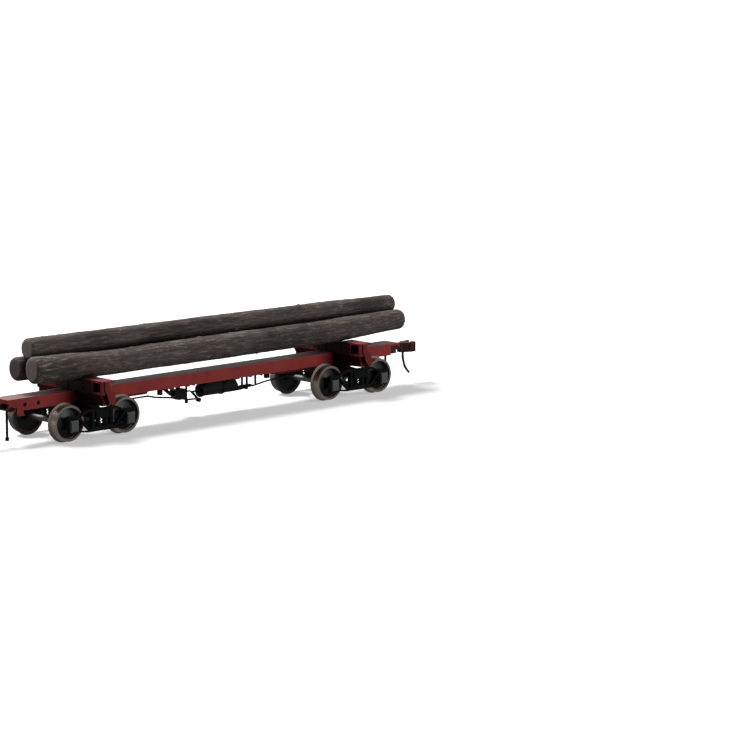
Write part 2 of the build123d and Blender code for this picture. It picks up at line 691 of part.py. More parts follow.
# ---- Draft gear and couplers, built for the +X end ----
def draft_box():
    """A pocket open to the front and below, with the post that the coupler swings on."""
    half = DRAFT_BOX_WIDTH / 2
    rear = POST_X - DRAFT_BOX_REAR
    box = block((rear, SILL_END), (-half, half), (LID_TOP, SILL_TOP))
    pocket = half - DRAFT_BOX_WALL
    box -= block((rear + DRAFT_BOX_WALL, SILL_END), (-pocket, pocket), (LID_TOP, POCKET_TOP))
    box += rod_z(POST_X, 0, (LID_TOP, POCKET_TOP), POST_DIA)
    thread = (LID_TOP, POCKET_TOP)
    return box - rod_z(POST_X, 0, thread, DRAFT_SCREW_DIA + 2 * FIT_GAP)


def draft_lid():
    half = DRAFT_BOX_WIDTH / 2
    rear = POST_X - DRAFT_BOX_REAR
    lid = block((rear, SILL_END), (-half, half), (LID_BOTTOM, LID_TOP))
    return lid - rod_z(POST_X, 0, (LID_BOTTOM, LID_TOP), DRAFT_SCREW_DIA + 2 * FIT_GAP)


def draft_screw():
    shank = rod_z(POST_X, 0, (LID_BOTTOM, POCKET_TOP - FIT_GAP), DRAFT_SCREW_DIA)
    head = (LID_BOTTOM - DRAFT_SCREW_HEAD, LID_BOTTOM)
    return shank + rod_z(POST_X, 0, head, DRAFT_SCREW_HEAD_DIA)


# Plan points of the coupler head are measured from the middle of the coupling plane, x outwards.
KNUCKLE_PIVOT = (-1.1, -1.35)
KNUCKLE_TAIL = (-2.95, -0.15)
TAIL_DIA = 1.0
GUARD_ARM = [
    (-3.4, 0.75), (-2.9, 1.4), (-1.7, 2.2), (1.6, 2.35), (1.7, 1.9), (0.2, 1.5), (-1.3, 1.2),
    (-1.4, 0.6), (-1.8, 0.5), (-1.8, 1.25), (-2.5, 1.25), (-3.35, 0.6),
]
HEAD_PLAN = [
    (-3.7, -0.75), (-2.9, -1.35), (-1.75, -1.75), (-1.1, -2.1), (-0.35, -1.35), (-1.3, -0.4),
    (-1.3, 1.2), (-1.7, 2.2), (-2.9, 1.4), (-3.7, 0.75),
]
KNUCKLE_HOOK = [
    (-0.95, -1.9), (0.5, -2.0), (1.0, -1.55), (1.1, -0.6), (0.9, 0.05), (0.35, 0.1), (0.05, -0.3),
    (-0.1, -0.75), (-0.5, -0.95),
]


def head_places(points):
    """Plan points of the head, moved to the end of the car."""
    return [(COUPLING_X + x, y) for x, y in points]


def coupler():
    """Shank with its swing ring, and a head of two ears that hold the knuckle between them."""
    half = HEAD_HEIGHT / 2
    low_ear = (HEAD_CENTRE - half, HEAD_CENTRE - half + EAR_THICKNESS)
    top_ear = (HEAD_CENTRE + half - EAR_THICKNESS, HEAD_CENTRE + half)
    plan = head_places(HEAD_PLAN)
    pivot = head_places([KNUCKLE_PIVOT])[0]
    full = (HEAD_CENTRE - half, HEAD_CENTRE + half)
    head = prism_z(head_places(GUARD_ARM), full)
    for ear in (low_ear, top_ear):
        head += prism_z(plan, ear) + rod_z(*pivot, ear, 2 * EAR_RADIUS)
    root = COUPLING_X - HEAD_ROOT
    head += block((root, root + HEAD_ROOT_LENGTH), (-SHANK_WIDTH / 2, SHANK_WIDTH / 2), full)
    reach = math.dist(KNUCKLE_PIVOT, KNUCKLE_TAIL)
    tail_angle = math.degrees(
        math.atan2(KNUCKLE_TAIL[1] - KNUCKLE_PIVOT[1], KNUCKLE_TAIL[0] - KNUCKLE_PIVOT[0])
    )
    swing = CenterArc(pivot, reach, tail_angle - KNUCKLE_OPEN, KNUCKLE_OPEN)
    slot = SlotArc(swing, TRIP_PIN_DIA + 3 * KNUCKLE_CLEARANCE)
    head -= Pos(0, 0, low_ear[0]) * extrude(slot, amount=EAR_THICKNESS, dir=(0, 0, 1))
    bore = KNUCKLE_PIN_DIA + 2 * KNUCKLE_PIN_PLAY
    head -= rod_z(*pivot, full, bore)
    shank_z = (SHANK_BOTTOM, SHANK_TOP)
    shank = block((POST_X, root), (-SHANK_WIDTH / 2, SHANK_WIDTH / 2), shank_z)
    shank += rod_z(POST_X, 0, shank_z, SHANK_RING_DIA)
    shank -= rod_z(POST_X, 0, shank_z, POST_DIA + 2 * POST_PLAY)
    return shank + head


def knuckle():
    """The hook, full height in front of the ears, and the tongue and tail between them."""
    half = HEAD_HEIGHT / 2
    tongue_half = half - EAR_THICKNESS - KNUCKLE_CLEARANCE / 2
    pivot = head_places([KNUCKLE_PIVOT])[0]
    tail = head_places([KNUCKLE_TAIL])[0]
    middle = (HEAD_CENTRE - tongue_half, HEAD_CENTRE + tongue_half)
    full = (HEAD_CENTRE - half, HEAD_CENTRE + half)
    hook_plan = head_places(KNUCKLE_HOOK)
    hook = prism_z(hook_plan, full) - rod_z(*pivot, full, 2 * (EAR_RADIUS + KNUCKLE_CLEARANCE))
    tongue = prism_z(hook_plan, middle) + rod_z(*pivot, middle, 2 * (EAR_RADIUS - KNUCKLE_CLEARANCE))
    across = Vector(tail[0] - pivot[0], tail[1] - pivot[1]).normalized().rotate(Axis.Z, 90)
    offset = across * (TAIL_DIA / 2)
    arm = [
        (pivot[0] + offset.X, pivot[1] + offset.Y),
        (pivot[0] - offset.X, pivot[1] - offset.Y),
        (tail[0] - offset.X, tail[1] - offset.Y),
        (tail[0] + offset.X, tail[1] + offset.Y),
    ]
    tongue += prism_z(arm, middle) + rod_z(*tail, middle, TAIL_DIA)
    shape = hook + tongue - rod_z(*pivot, full, KNUCKLE_PIN_DIA)
    return shape - rod_z(*tail, middle, TRIP_PIN_DIA)


def knuckle_pin():
    """The rivet that the knuckle turns with, flush with both ears."""
    half = HEAD_HEIGHT / 2
    pivot = head_places([KNUCKLE_PIVOT])[0]
    return rod_z(*pivot, (HEAD_CENTRE - half, HEAD_CENTRE + half), KNUCKLE_PIN_DIA)


def trip_pin():
    """The curved wire that hangs from the knuckle's tail towards the rail."""
    x, y = head_places([KNUCKLE_TAIL])[0]
    top = HEAD_CENTRE + HEAD_HEIGHT / 2 - EAR_THICKNESS - KNUCKLE_CLEARANCE
    route = [(x, y, top)] + [(x, y - lean, z) for lean, z in TRIP_PIN_ROUTE]
    return swept(route, TRIP_PIN_BEND, Circle(TRIP_PIN_DIA / 2), (1, 0, 0))


def centring_spring():
    """Two whisker leaves that leave the sides of the shank and spread towards the box walls."""
    side = SHANK_WIDTH / 2
    start = POST_X + SHANK_RING_DIA / 2 + WHISKER_FROM_RING
    bend = start + WHISKER_HOLD
    end = start + WHISKER_LENGTH
    outline = [
        (start, side),
        (bend, side),
        (end, side + WHISKER_SPREAD),
        (end, side + WHISKER_SPREAD + WHISKER),
        (bend, side + WHISKER),
        (start, side + WHISKER),
    ]
    leaf = prism_z(outline, (SHANK_CENTRE - WHISKER_HEIGHT / 2, SHANK_CENTRE + WHISKER_HEIGHT / 2))
    return both_sides(leaf)


def hose_moulding():
    """The air hose at the near corner of the -X end: a clamp on the sill and the hanging hose."""
    outer = -SILL_WIDTH / 2
    y = outer - HOSE_DIA / 2
    z = SILL_BOTTOM + HOSE_ABOVE_SILL
    hang = -SILL_END - HOSE_REACH
    route = [(-SILL_END + HOSE_HOLD, y, z), (hang, y, z), (hang, y, HOSE_END)]
    hose = swept(route, HOSE_BEND, octagon(HOSE_DIA), (0, 0, 1))
    grip = HOSE_DIA / 2 + HOSE_CLAMP_WALL
    start = -SILL_END + HOSE_CLAMP_FROM_END
    clamp = block((start, start + HOSE_CLAMP_LENGTH), (y - grip, outer), (z - grip, z + grip))
    gladhand = rod_z(hang, y, (HOSE_END, HOSE_END + GLADHAND_LENGTH), GLADHAND_DIA)
    return hose + clamp + gladhand


# ---- Brake gear ----
def hanger_strap(x):
    """A strap across the undersides of both sills."""
    half = SILL_WIDTH / 2 - STRAP_INSET
    return block(x, (-half, half), (STRAP_BOTTOM, SILL_BOTTOM))


def drawn(points):
    """Places given with their drops below the sills, as (x, z) points."""
    return [(x, SILL_BOTTOM - drop) for x, drop in points]


def brake_cylinder():
    """The barrel, the rims of its two heads and the boss that the push rod comes out of."""
    x0, x1 = CYLINDER_START, CYLINDER_END
    shape = rod_x((x0, x1), 0, BRAKE_AXIS, CYLINDER_DIA - 2 * CYLINDER_RIM)
    for rim in ((x0, x0 + CYLINDER_RIM_WIDTH), (x1 - CYLINDER_RIM_WIDTH, x1)):
        shape += rod_x(rim, 0, BRAKE_AXIS, CYLINDER_DIA)
    return shape + rod_x((x0 - CYLINDER_BOSS, x0), 0, BRAKE_AXIS, CYLINDER_BOSS_DIA)


def air_reservoir():
    """The tank bolted behind the cylinder, with a bevelled end."""
    tank = rod_x((CYLINDER_END, RESERVOIR_END), 0, BRAKE_AXIS, RESERVOIR_DIA)
    rim = tank.edges().filter_by(GeomType.CIRCLE).sort_by(Axis.X)[-1]
    return chamfer(rim, RESERVOIR_CHAMFER)


def saddle(x, diameter):
    """A long mounting block over a tank, with its plate under the sills."""
    half = SADDLE_WIDTH / 2
    shape = block(x, (-half, half), (BRAKE_AXIS + SADDLE_ABOVE_AXIS, SILL_BOTTOM)) + hanger_strap(x)
    return shape - rod_x(x, 0, BRAKE_AXIS, diameter + 2 * FIT_GAP)


def cylinder_brackets():
    first, last = CYLINDER_SADDLE_INSETS
    cylinder = (CYLINDER_START + first, CYLINDER_END - last)
    first, last = RESERVOIR_SADDLE_INSETS
    reservoir = (CYLINDER_END + first, RESERVOIR_END - last)
    return [saddle(cylinder, CYLINDER_DIA - 2 * CYLINDER_RIM), saddle(reservoir, RESERVOIR_DIA)]


def triple_valve():
    """The control valve: a body with a sloped corner, its neck, its sloping pipe and two straps."""
    x0, x1 = VALVE_END - VALVE_LENGTH, VALVE_END
    top = SILL_BOTTOM - VALVE_DROP
    low = top - VALVE_HEIGHT
    corner = low + VALVE_CORNER
    y = VALVE_BEHIND + VALVE_DEPTH / 2
    body = prism_y(
        [(x0, top), (x0, corner), (x0 + VALVE_CORNER, low), (x1, low), (x1, top)],
        (VALVE_BEHIND, VALVE_BEHIND + VALVE_DEPTH),
    )
    middle = (x0 + x1) / 2
    neck = VALVE_NECK_DIA / 2
    body += rod_z(middle, y, (top, SILL_BOTTOM), VALVE_NECK_DIA)
    body += hanger_strap((middle - neck, middle + neck))
    half = VALVE_PIPE_WIDTH / 2
    head = (x0 - VALVE_PIPE_REACH - half, x0 - VALVE_PIPE_REACH + half)
    pipe = prism_y(
        [(x0 - half, corner), (x0 + half, corner), (head[1], STRAP_BOTTOM), (head[0], STRAP_BOTTOM)],
        (y - VALVE_PIPE_DEPTH / 2, y + VALVE_PIPE_DEPTH / 2),
    )
    return body + pipe + hanger_strap(head)


def brake_lever_guide():
    """A forked hanger on the +X side, and the floating lever that its foot carries."""
    span = (GUIDE_X - GUIDE_LEG / 2, GUIDE_X + GUIDE_LEG / 2)
    low = SILL_BOTTOM - GUIDE_DROP
    outer = (GUIDE_LEG_SPACING + GUIDE_LEG_THICKNESS) / 2
    guide = hanger_strap(span)
    for leg in both_sides(block(span, (-outer, GUIDE_LEG_THICKNESS - outer), (low, STRAP_BOTTOM))):
        guide += leg
    guide += block(span, (-outer, outer), (low, low + GUIDE_FOOT))
    return guide + prism_y(drawn(FLOATING_LEVER), (-LEVER_THICKNESS / 2, LEVER_THICKNESS / 2))


def cylinder_lever():
    """The lever on the push rod, with an eye at its foot, and the post and link that hold it."""
    half = LEVER_THICKNESS / 2
    reach = LEVER_WIDTH / 2
    (top_x, top_z), (foot_x, foot_z) = drawn((LEVER_TOP, LEVER_FOOT))
    bar = prism_y(
        [
            (top_x - reach, top_z),
            (top_x + reach, top_z),
            (foot_x + reach, foot_z),
            (foot_x - reach, foot_z),
        ],
        (-half, half),
    )
    eye_y = (-LEVER_EYE_LENGTH / 2, LEVER_EYE_LENGTH / 2)
    eye = rod_y(foot_x, eye_y, foot_z, LEVER_EYE_DIA)
    push_x = top_x + (foot_x - top_x) * (top_z - BRAKE_AXIS) / (top_z - foot_z)
    push_rod = rod_x((push_x, CYLINDER_START - CYLINDER_BOSS), 0, BRAKE_AXIS, ROD_DIA)
    post_x = (LEVER_POST_X - LEVER_POST_WIDTH / 2, LEVER_POST_X + LEVER_POST_WIDTH / 2)
    foot_span = (LEVER_POST_X - LEVER_POST_FOOT_WIDTH / 2, LEVER_POST_X + LEVER_POST_FOOT_WIDTH / 2)
    post_y = (LEVER_POST_BEHIND, LEVER_POST_BEHIND + LEVER_POST_WIDTH)
    post_low = SILL_BOTTOM - LEVER_POST_DROP
    post = block(post_x, post_y, (post_low, SILL_BOTTOM)) + hanger_strap(post_x)
    post += block(foot_span, post_y, (post_low, post_low + LEVER_POST_FOOT))
    link_top = SILL_BOTTOM - LEVER_LINK_DROP
    link = block((post_x[0], top_x), (-half, post_y[1]), (link_top - LEVER_LINK, link_top))
    return bar + eye + push_rod + post + link


def rod_routes():
    """The (x, z) points of the left and right pull rods, from the levers towards the trucks."""
    right_start = (FLOATING_LEVER[-1][0] + ROD_CLEARANCE, RIGHT_ROD_START_DROP)
    left = [*LEFT_ROD, (-ROD_END, LEFT_ROD_END_DROP)]
    right = [right_start, *RIGHT_ROD, (ROD_END, RIGHT_ROD_END_DROP)]
    return drawn(left), drawn(right)


def pull_rods():
    return [
        swept([(x, 0, z) for x, z in route], ROD_BEND, octagon(ROD_DIA), (0, 1, 0))
        for route in rod_routes()
    ]


def height_on(route, x):
    """The height of a rod's centre line at x."""
    for (x0, z0), (x1, z1) in zip(route, route[1:]):
        if min(x0, x1) <= x <= max(x0, x1):
            return z0 + (z1 - z0) * (x - x0) / (x1 - x0)


def rod_hangers():
    """Two stubs under the sills, and thin stems that reach down to the pull rods."""
    hangers = []
    right_stub_x = DOUBLER_END - RIGHT_STUB_FROM_DOUBLER
    for x, (width, drop) in ((LEFT_STUB_X, LEFT_STUB), (right_stub_x, RIGHT_STUB)):
        span = (x - width / 2, x + width / 2)
        stub = block(span, (-width / 2, width / 2), (SILL_BOTTOM - drop, STRAP_BOTTOM))
        hangers.append(stub + hanger_strap(span))
    left, right = rod_routes()
    near_truck = TRUCK_SPACING / 2 - ROD_STEM_FROM_TRUCK
    stem_x, stem_y = ROD_STEM
    stems = ((left, -near_truck), (right, ROD_STEM_X), (right, near_truck))
    for route, x in stems:
        span = (x - stem_x / 2, x + stem_x / 2)
        low = height_on(route, x) + ROD_DIA / 2 + FIT_GAP
        under_doubler = abs(x) > DOUBLER_END
        top = DOUBLER_BOTTOM if under_doubler else STRAP_BOTTOM
        stem = block(span, (-stem_y / 2, stem_y / 2), (low, top))
        hangers.append(stem if under_doubler else stem + hanger_strap(span))
    return hangers


# ---- Logs ----
def log_sections(diameters, length, places):
    """Circles along a log: one at each station, at the (y, z) that places gives for its radius."""
    sections = []
    for station, diameter in zip(LOG_STATIONS, diameters):
        y, z = places[station]
        plane = Plane(origin=(LOG_START + station * length, y, z), x_dir=(0, 1, 0), z_dir=(1, 0, 0))
        sections.append(plane * Circle(diameter / 2))
    return sections


def nest(near, far, radius):
    """The centre of a circle that lies in the hollow between two others, one gap off each."""
    (y1, z1, r1), (y2, z2, r2) = near, far
    span = math.dist((y1, z1), (y2, z2))
    to_near = r1 + radius + LOG_GAP
    to_far = r2 + radius + LOG_GAP
    along = (to_near**2 - to_far**2 + span**2) / (2 * span)
    above = math.sqrt(to_near**2 - along**2)
    dy, dz = (y2 - y1) / span, (z2 - z1) / span
    return y1 + along * dy - above * dz, z1 + along * dz + above * dy


def build_logs():
    """Straight centre lines at the height of each log's widest section, lifted at the ends."""
    seat = BUNK_SEAT + LOG_GAP
    near, far, top = {}, {}, {}
    rows = zip(LOG_STATIONS, LOG_NEAR_DIAS, LOG_FAR_DIAS, LOG_TOP_DIAS, LOG_END_LIFTS)
    for station, d_near, d_far, d_top, lift in rows:
        near[station] = (LOG_NEAR_Y, seat + max(LOG_NEAR_DIAS) / 2 + lift)
        far[station] = (LOG_FAR_Y, seat + max(LOG_FAR_DIAS) / 2 + lift)
        near_circle = (*near[station], d_near / 2)
        far_circle = (*far[station], d_far / 2)
        top[station] = nest(near_circle, far_circle, d_top / 2)
    rows = zip(
        ("log_near", "log_far", "log_top"),
        (LOG_NEAR_DIAS, LOG_FAR_DIAS, LOG_TOP_DIAS),
        LOG_LENGTHS,
        (near, far, top),
        (0, 0, LOG_TOP_SHIFT),
    )
    for name, diameters, length, places, shift in rows:
        log = loft(log_sections(diameters, length, places), ruled=True)
        ends = log.edges().filter_by(GeomType.CIRCLE).sort_by(Axis.X)
        log = chamfer([ends[0], ends[-1]], LOG_END_ROUND)
        save(name, Pos(shift, 0, 0) * log)


# ---- The whole car ----
def build_body():
    near = side_sill()
    save("side_sill_near", near)
    save("side_sill_far", turned(near))
    save("sill_cover_plate", sill_cover_plate())
    save("sill_spacers", *sill_spacers())
    save("sill_steps", sill_step(), turned(sill_step()))
    save("draft_screws", *[turned(draft_screw(), degrees) for degrees in ENDS.values()])
    for end, centre in TRUCKS.items():
        inboard = ENDS[end] + 180
        bolster = (body_bolster(), sill_doubler())
        save(f"body_bolster_{end}", *[Pos(centre, 0, 0) * turned(p, inboard) for p in bolster])
        save(f"log_bunk_{end}", Pos(centre, 0, 0) * log_bunk())
    save("king_pins", *[Pos(x, 0, 0) * king_pin() for x in TRUCKS.values()])
    lugs = both_sides(bunk_end_lug())
    save("bunk_end_lugs", *[Pos(x, 0, 0) * lug for x in TRUCKS.values() for lug in lugs])
    save("brake_hose_mouldings", hose_moulding(), turned(hose_moulding()))


def build_couplers():
    for end, degrees in ENDS.items():
        save(f"draft_box_{end}", turned(draft_box(), degrees))
        save(f"draft_lid_{end}", turned(draft_lid(), degrees))
        save(f"coupler_{end}", turned(coupler(), degrees))
        save(f"centring_spring_{end}", *[turned(leaf, degrees) for leaf in centring_spring()])
        save(f"knuckle_{end}", turned(knuckle(), degrees))
        save(f"knuckle_pin_{end}", turned(knuckle_pin(), degrees))
        save(f"trip_pin_{end}", turned(trip_pin(), degrees))


def build_brake_gear():
    save("brake_cylinder", brake_cylinder())
    save("air_reservoir", air_reservoir())
    save("cylinder_brackets", *cylinder_brackets())
    save("triple_valve", triple_valve())
    save("brake_lever_guide", brake_lever_guide())
    save("cylinder_lever", cylinder_lever())
    save("pull_rods", *pull_rods())
    save("rod_hangers", *rod_hangers())


build_body()
build_couplers()
build_brake_gear()
for truck_end, truck_centre in TRUCKS.items():
    build_truck(truck_end, truck_centre)
build_logs()
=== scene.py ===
"""The looks of a skeleton log flat car: painted sills, black trucks, barked logs and a studio."""
import math

import bmesh
import bpy
import numpy as np
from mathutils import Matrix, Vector, noise


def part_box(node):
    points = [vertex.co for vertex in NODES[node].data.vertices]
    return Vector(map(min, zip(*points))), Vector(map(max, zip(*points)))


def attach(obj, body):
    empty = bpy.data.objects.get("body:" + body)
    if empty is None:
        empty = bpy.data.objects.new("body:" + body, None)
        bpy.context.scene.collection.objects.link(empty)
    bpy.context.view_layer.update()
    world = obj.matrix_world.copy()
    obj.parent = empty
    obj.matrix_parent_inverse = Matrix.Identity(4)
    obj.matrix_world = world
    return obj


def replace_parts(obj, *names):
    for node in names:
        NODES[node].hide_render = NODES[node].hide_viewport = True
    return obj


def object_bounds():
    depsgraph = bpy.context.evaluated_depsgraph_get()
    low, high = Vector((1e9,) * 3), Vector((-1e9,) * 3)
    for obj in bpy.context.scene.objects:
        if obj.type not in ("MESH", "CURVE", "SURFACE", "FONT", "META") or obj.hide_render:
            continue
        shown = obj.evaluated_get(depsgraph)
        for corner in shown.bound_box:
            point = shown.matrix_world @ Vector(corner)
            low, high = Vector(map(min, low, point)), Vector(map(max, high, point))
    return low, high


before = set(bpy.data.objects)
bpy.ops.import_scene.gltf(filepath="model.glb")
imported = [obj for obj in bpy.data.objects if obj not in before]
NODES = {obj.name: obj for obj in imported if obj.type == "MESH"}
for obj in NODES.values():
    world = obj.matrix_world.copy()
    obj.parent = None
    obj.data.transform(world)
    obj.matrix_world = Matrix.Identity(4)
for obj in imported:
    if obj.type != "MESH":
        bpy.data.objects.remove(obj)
CAD_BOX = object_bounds()
MM = 0.001


# ---- Camera, lamps and studio ----
CAMERA_PLACE = Vector((-0.5918, -0.6777, 0.15725))
CAMERA_HEADING = 46.0
CAMERA_PITCH = 9.188
LENS_MM = 160.24
SENSOR_MM = 36.0
CLIP_START = 0.01
# Each lamp: its place and what it points at, in metres, its width and height, and its power in
# watts. The soft box stands high over the far side, so that the load shades the bunks.
LAMPS = {
    "soft_box": ((-0.15, 0.42, 0.66), (0.0, 0.0, 0.0), (0.45, 0.3), 14.0),
    "side_fill": ((0.3, -0.92, 0.35), (0.0, 0.0, 0.01), (0.6, 0.35), 6.5),
}
# The floor's half width in metres and its drop below the wheels in mm. It has one grey for the
# camera and a darker one for the light that it sends back. Its glow grows from the first level to
# the second between two distances in metres.
FLOOR_REACH = 30.0
FLOOR_DROP = 0.02
FLOOR_SEEN = 0.55
FLOOR_BOUNCE = 0.08
FLOOR_GLOW = (0.4, 1.0)
FLOOR_GLOW_SPAN = (0.06, 0.45)
AMBIENT = 0.04
WHITE = (1.0, 1.0, 1.0, 1.0)


def add_object(name, data):
    """A new object that holds this data, linked into the scene."""
    made = bpy.data.objects.new(name, data)
    bpy.context.scene.collection.objects.link(made)
    return made


def add_camera():
    """A long lens, 46 degrees off the car's length and 9 degrees above it."""
    heading, pitch = math.radians(CAMERA_HEADING), math.radians(CAMERA_PITCH)
    level = math.cos(pitch)
    view = Vector((math.cos(heading) * level, math.sin(heading) * level, -math.sin(pitch)))
    data = bpy.data.cameras.new("camera")
    data.lens = LENS_MM
    data.sensor_width = SENSOR_MM
    data.clip_start = CLIP_START
    camera = add_object("camera", data)
    camera.location = CAMERA_PLACE
    camera.rotation_euler = view.to_track_quat("-Z", "Y").to_euler()
    bpy.context.scene.camera = camera


def add_lamps():
    """The rectangular lamps of the studio."""
    for name, (place, aim, size, power) in LAMPS.items():
        data = bpy.data.lights.new(name, "AREA")
        data.shape = "RECTANGLE"
        data.size, data.size_y = size
        data.energy = power
        lamp = add_object(name, data)
        lamp.location = place
        towards = Vector(aim) - Vector(place)
        lamp.rotation_euler = towards.to_track_quat("-Z", "Y").to_euler()


# ---- Shader node helpers ----
EDGE_STRENGTH = 6.0
EDGE_SAMPLES = 4
CREVICE_SAMPLES = 8
NOISE_ROUGHNESS = 0.55


def feed(tree, socket, value):
    """Links a socket to another node's output, or sets it to a plain value."""
    if isinstance(value, bpy.types.NodeSocket):
        tree.links.new(value, socket)
    else:
        socket.default_value = value


def make_node(tree, kind, inputs=None, **settings):
    """A shader node with its settings, and with values or links on its named inputs."""
    node = tree.nodes.new(kind)
    for name, value in settings.items():
        setattr(node, name, value)
    for name, value in (inputs or {}).items():
        feed(tree, node.inputs[name], value)
    return node


def new_material(name):
    """A material, its node tree and its one principled shader."""
    material = bpy.data.materials.new(name)
    material.use_nodes = True
    tree = material.node_tree
    return material, tree, tree.nodes["Principled BSDF"]


def rgb(red, green, blue):
    """A colour given as 0 to 255 on screen, as the linear value that shaders take."""
    levels = [c / 255 for c in (red, green, blue)]
    linear = [c / 12.92 if c <= 0.04045 else ((c + 0.055) / 1.055) ** 2.4 for c in levels]
    return (*linear, 1.0)


def scaled(colour, factor):
    """A linear colour made darker or lighter."""
    return tuple(min(c * factor, 1.0) for c in colour[:3]) + (1.0,)


def object_place(tree):
    """The place on the object, in its own axes."""
    return make_node(tree, "ShaderNodeTexCoord").outputs["Object"]


def along_axes(tree, vector):
    """The three parts of a vector, by the names of their axes."""
    return make_node(tree, "ShaderNodeSeparateXYZ", {"Vector": vector}).outputs


def normal_part(tree, axis):
    """One component of the surface normal, in the object's own axes."""
    return along_axes(tree, make_node(tree, "ShaderNodeTexCoord").outputs["Normal"])[axis]


def mark(tree, name):
    """A number that the mesh holds at each of its points."""
    return make_node(tree, "ShaderNodeAttribute", attribute_name=name).outputs["Fac"]


def noise_at(tree, place, scale, detail, roughness, seed):
    """Noise of a given scale at a place."""
    inputs = {"Vector": place, "W": seed, "Scale": scale, "Detail": detail,
              "Roughness": roughness}
    return make_node(tree, "ShaderNodeTexNoise", inputs, noise_dimensions="4D").outputs["Fac"]


def noise_of(tree, grain, seed, detail=4.0):
    """Noise whose features are about grain millimetres across."""
    return noise_at(tree, object_place(tree), 1.0 / (grain * MM), detail, NOISE_ROUGHNESS, seed)


def streaks_of(tree, stretch, detail, roughness):
    """Noise with a scale of its own on each axis, for streaks along the car."""
    inputs = {"Vector": object_place(tree), "Scale": stretch}
    place = make_node(tree, "ShaderNodeMapping", inputs).outputs["Vector"]
    return noise_at(tree, place, 1.0, detail, roughness, 0.0)


def ramp(tree, fac, low, high, least=0.0, most=1.0):
    """Maps the span from low to high onto the one from least to most, and holds it there."""
    inputs = {"Value": fac, "From Min": low, "From Max": high, "To Min": least, "To Max": most}
    return make_node(tree, "ShaderNodeMapRange", inputs, clamp=True).outputs["Result"]


def maths(tree, operation, first, second=0.0, third=0.0):
    """A Math node's result."""
    made = make_node(tree, "ShaderNodeMath", operation=operation)
    for socket, value in zip(made.inputs, (first, second, third)):
        feed(tree, socket, value)
    return made.outputs[0]


def times(tree, first, *others):
    """The product of two or more numbers."""
    for other in others:
        first = maths(tree, "MULTIPLY", first, other)
    return first


def blend(tree, fac, first, second):
    """The first colour where fac is 0 and the second where it is 1."""
    made = make_node(tree, "ShaderNodeMix", data_type="RGBA", blend_type="MIX")
    colour_sockets = (made.inputs[0], made.inputs[6], made.inputs[7])
    for socket, value in zip(colour_sockets, (fac, first, second)):
        feed(tree, socket, value)
    return made.outputs[2]


def edge_mask(tree, radius):
    """Near 1 along outer and inner edges, 0 on flat faces."""
    soft = make_node(tree, "ShaderNodeBevel", {"Radius": radius * MM}, samples=EDGE_SAMPLES)
    hard = make_node(tree, "ShaderNodeNewGeometry")
    facing = {0: soft.outputs["Normal"], 1: hard.outputs["Normal"]}
    turn = make_node(tree, "ShaderNodeVectorMath", facing, operation="DOT_PRODUCT")
    bend = maths(tree, "SUBTRACT", 1.0, turn.outputs["Value"])
    return ramp(tree, times(tree, bend, EDGE_STRENGTH), 0.0, 1.0)


def crevice_shade_mask(tree, reach, open_sky, shut):
    """Painted shade: near 1 in crevices and under overhangs closer than that many mm, 0 in the
    open.
    """
    inputs = {"Distance": reach * MM}
    made = make_node(tree, "ShaderNodeAmbientOcclusion", inputs, samples=CREVICE_SAMPLES)
    return ramp(tree, made.outputs["AO"], open_sky, shut)


def bump(tree, height, depth):
    """A bump of that depth in millimetres, as a normal."""
    inputs = {"Height": height, "Strength": 1.0, "Distance": depth * MM}
    return make_node(tree, "ShaderNodeBump", inputs).outputs["Normal"]


def coat(tree, shader, colour, roughness, relief, specular):
    """Feeds a shader its colour, roughness and relief, and sets its specular level."""
    tree.links.new(colour, shader.inputs["Base Color"])
    tree.links.new(roughness, shader.inputs["Roughness"])
    tree.links.new(relief, shader.inputs["Normal"])
    shader.inputs["Specular IOR Level"].default_value = specular
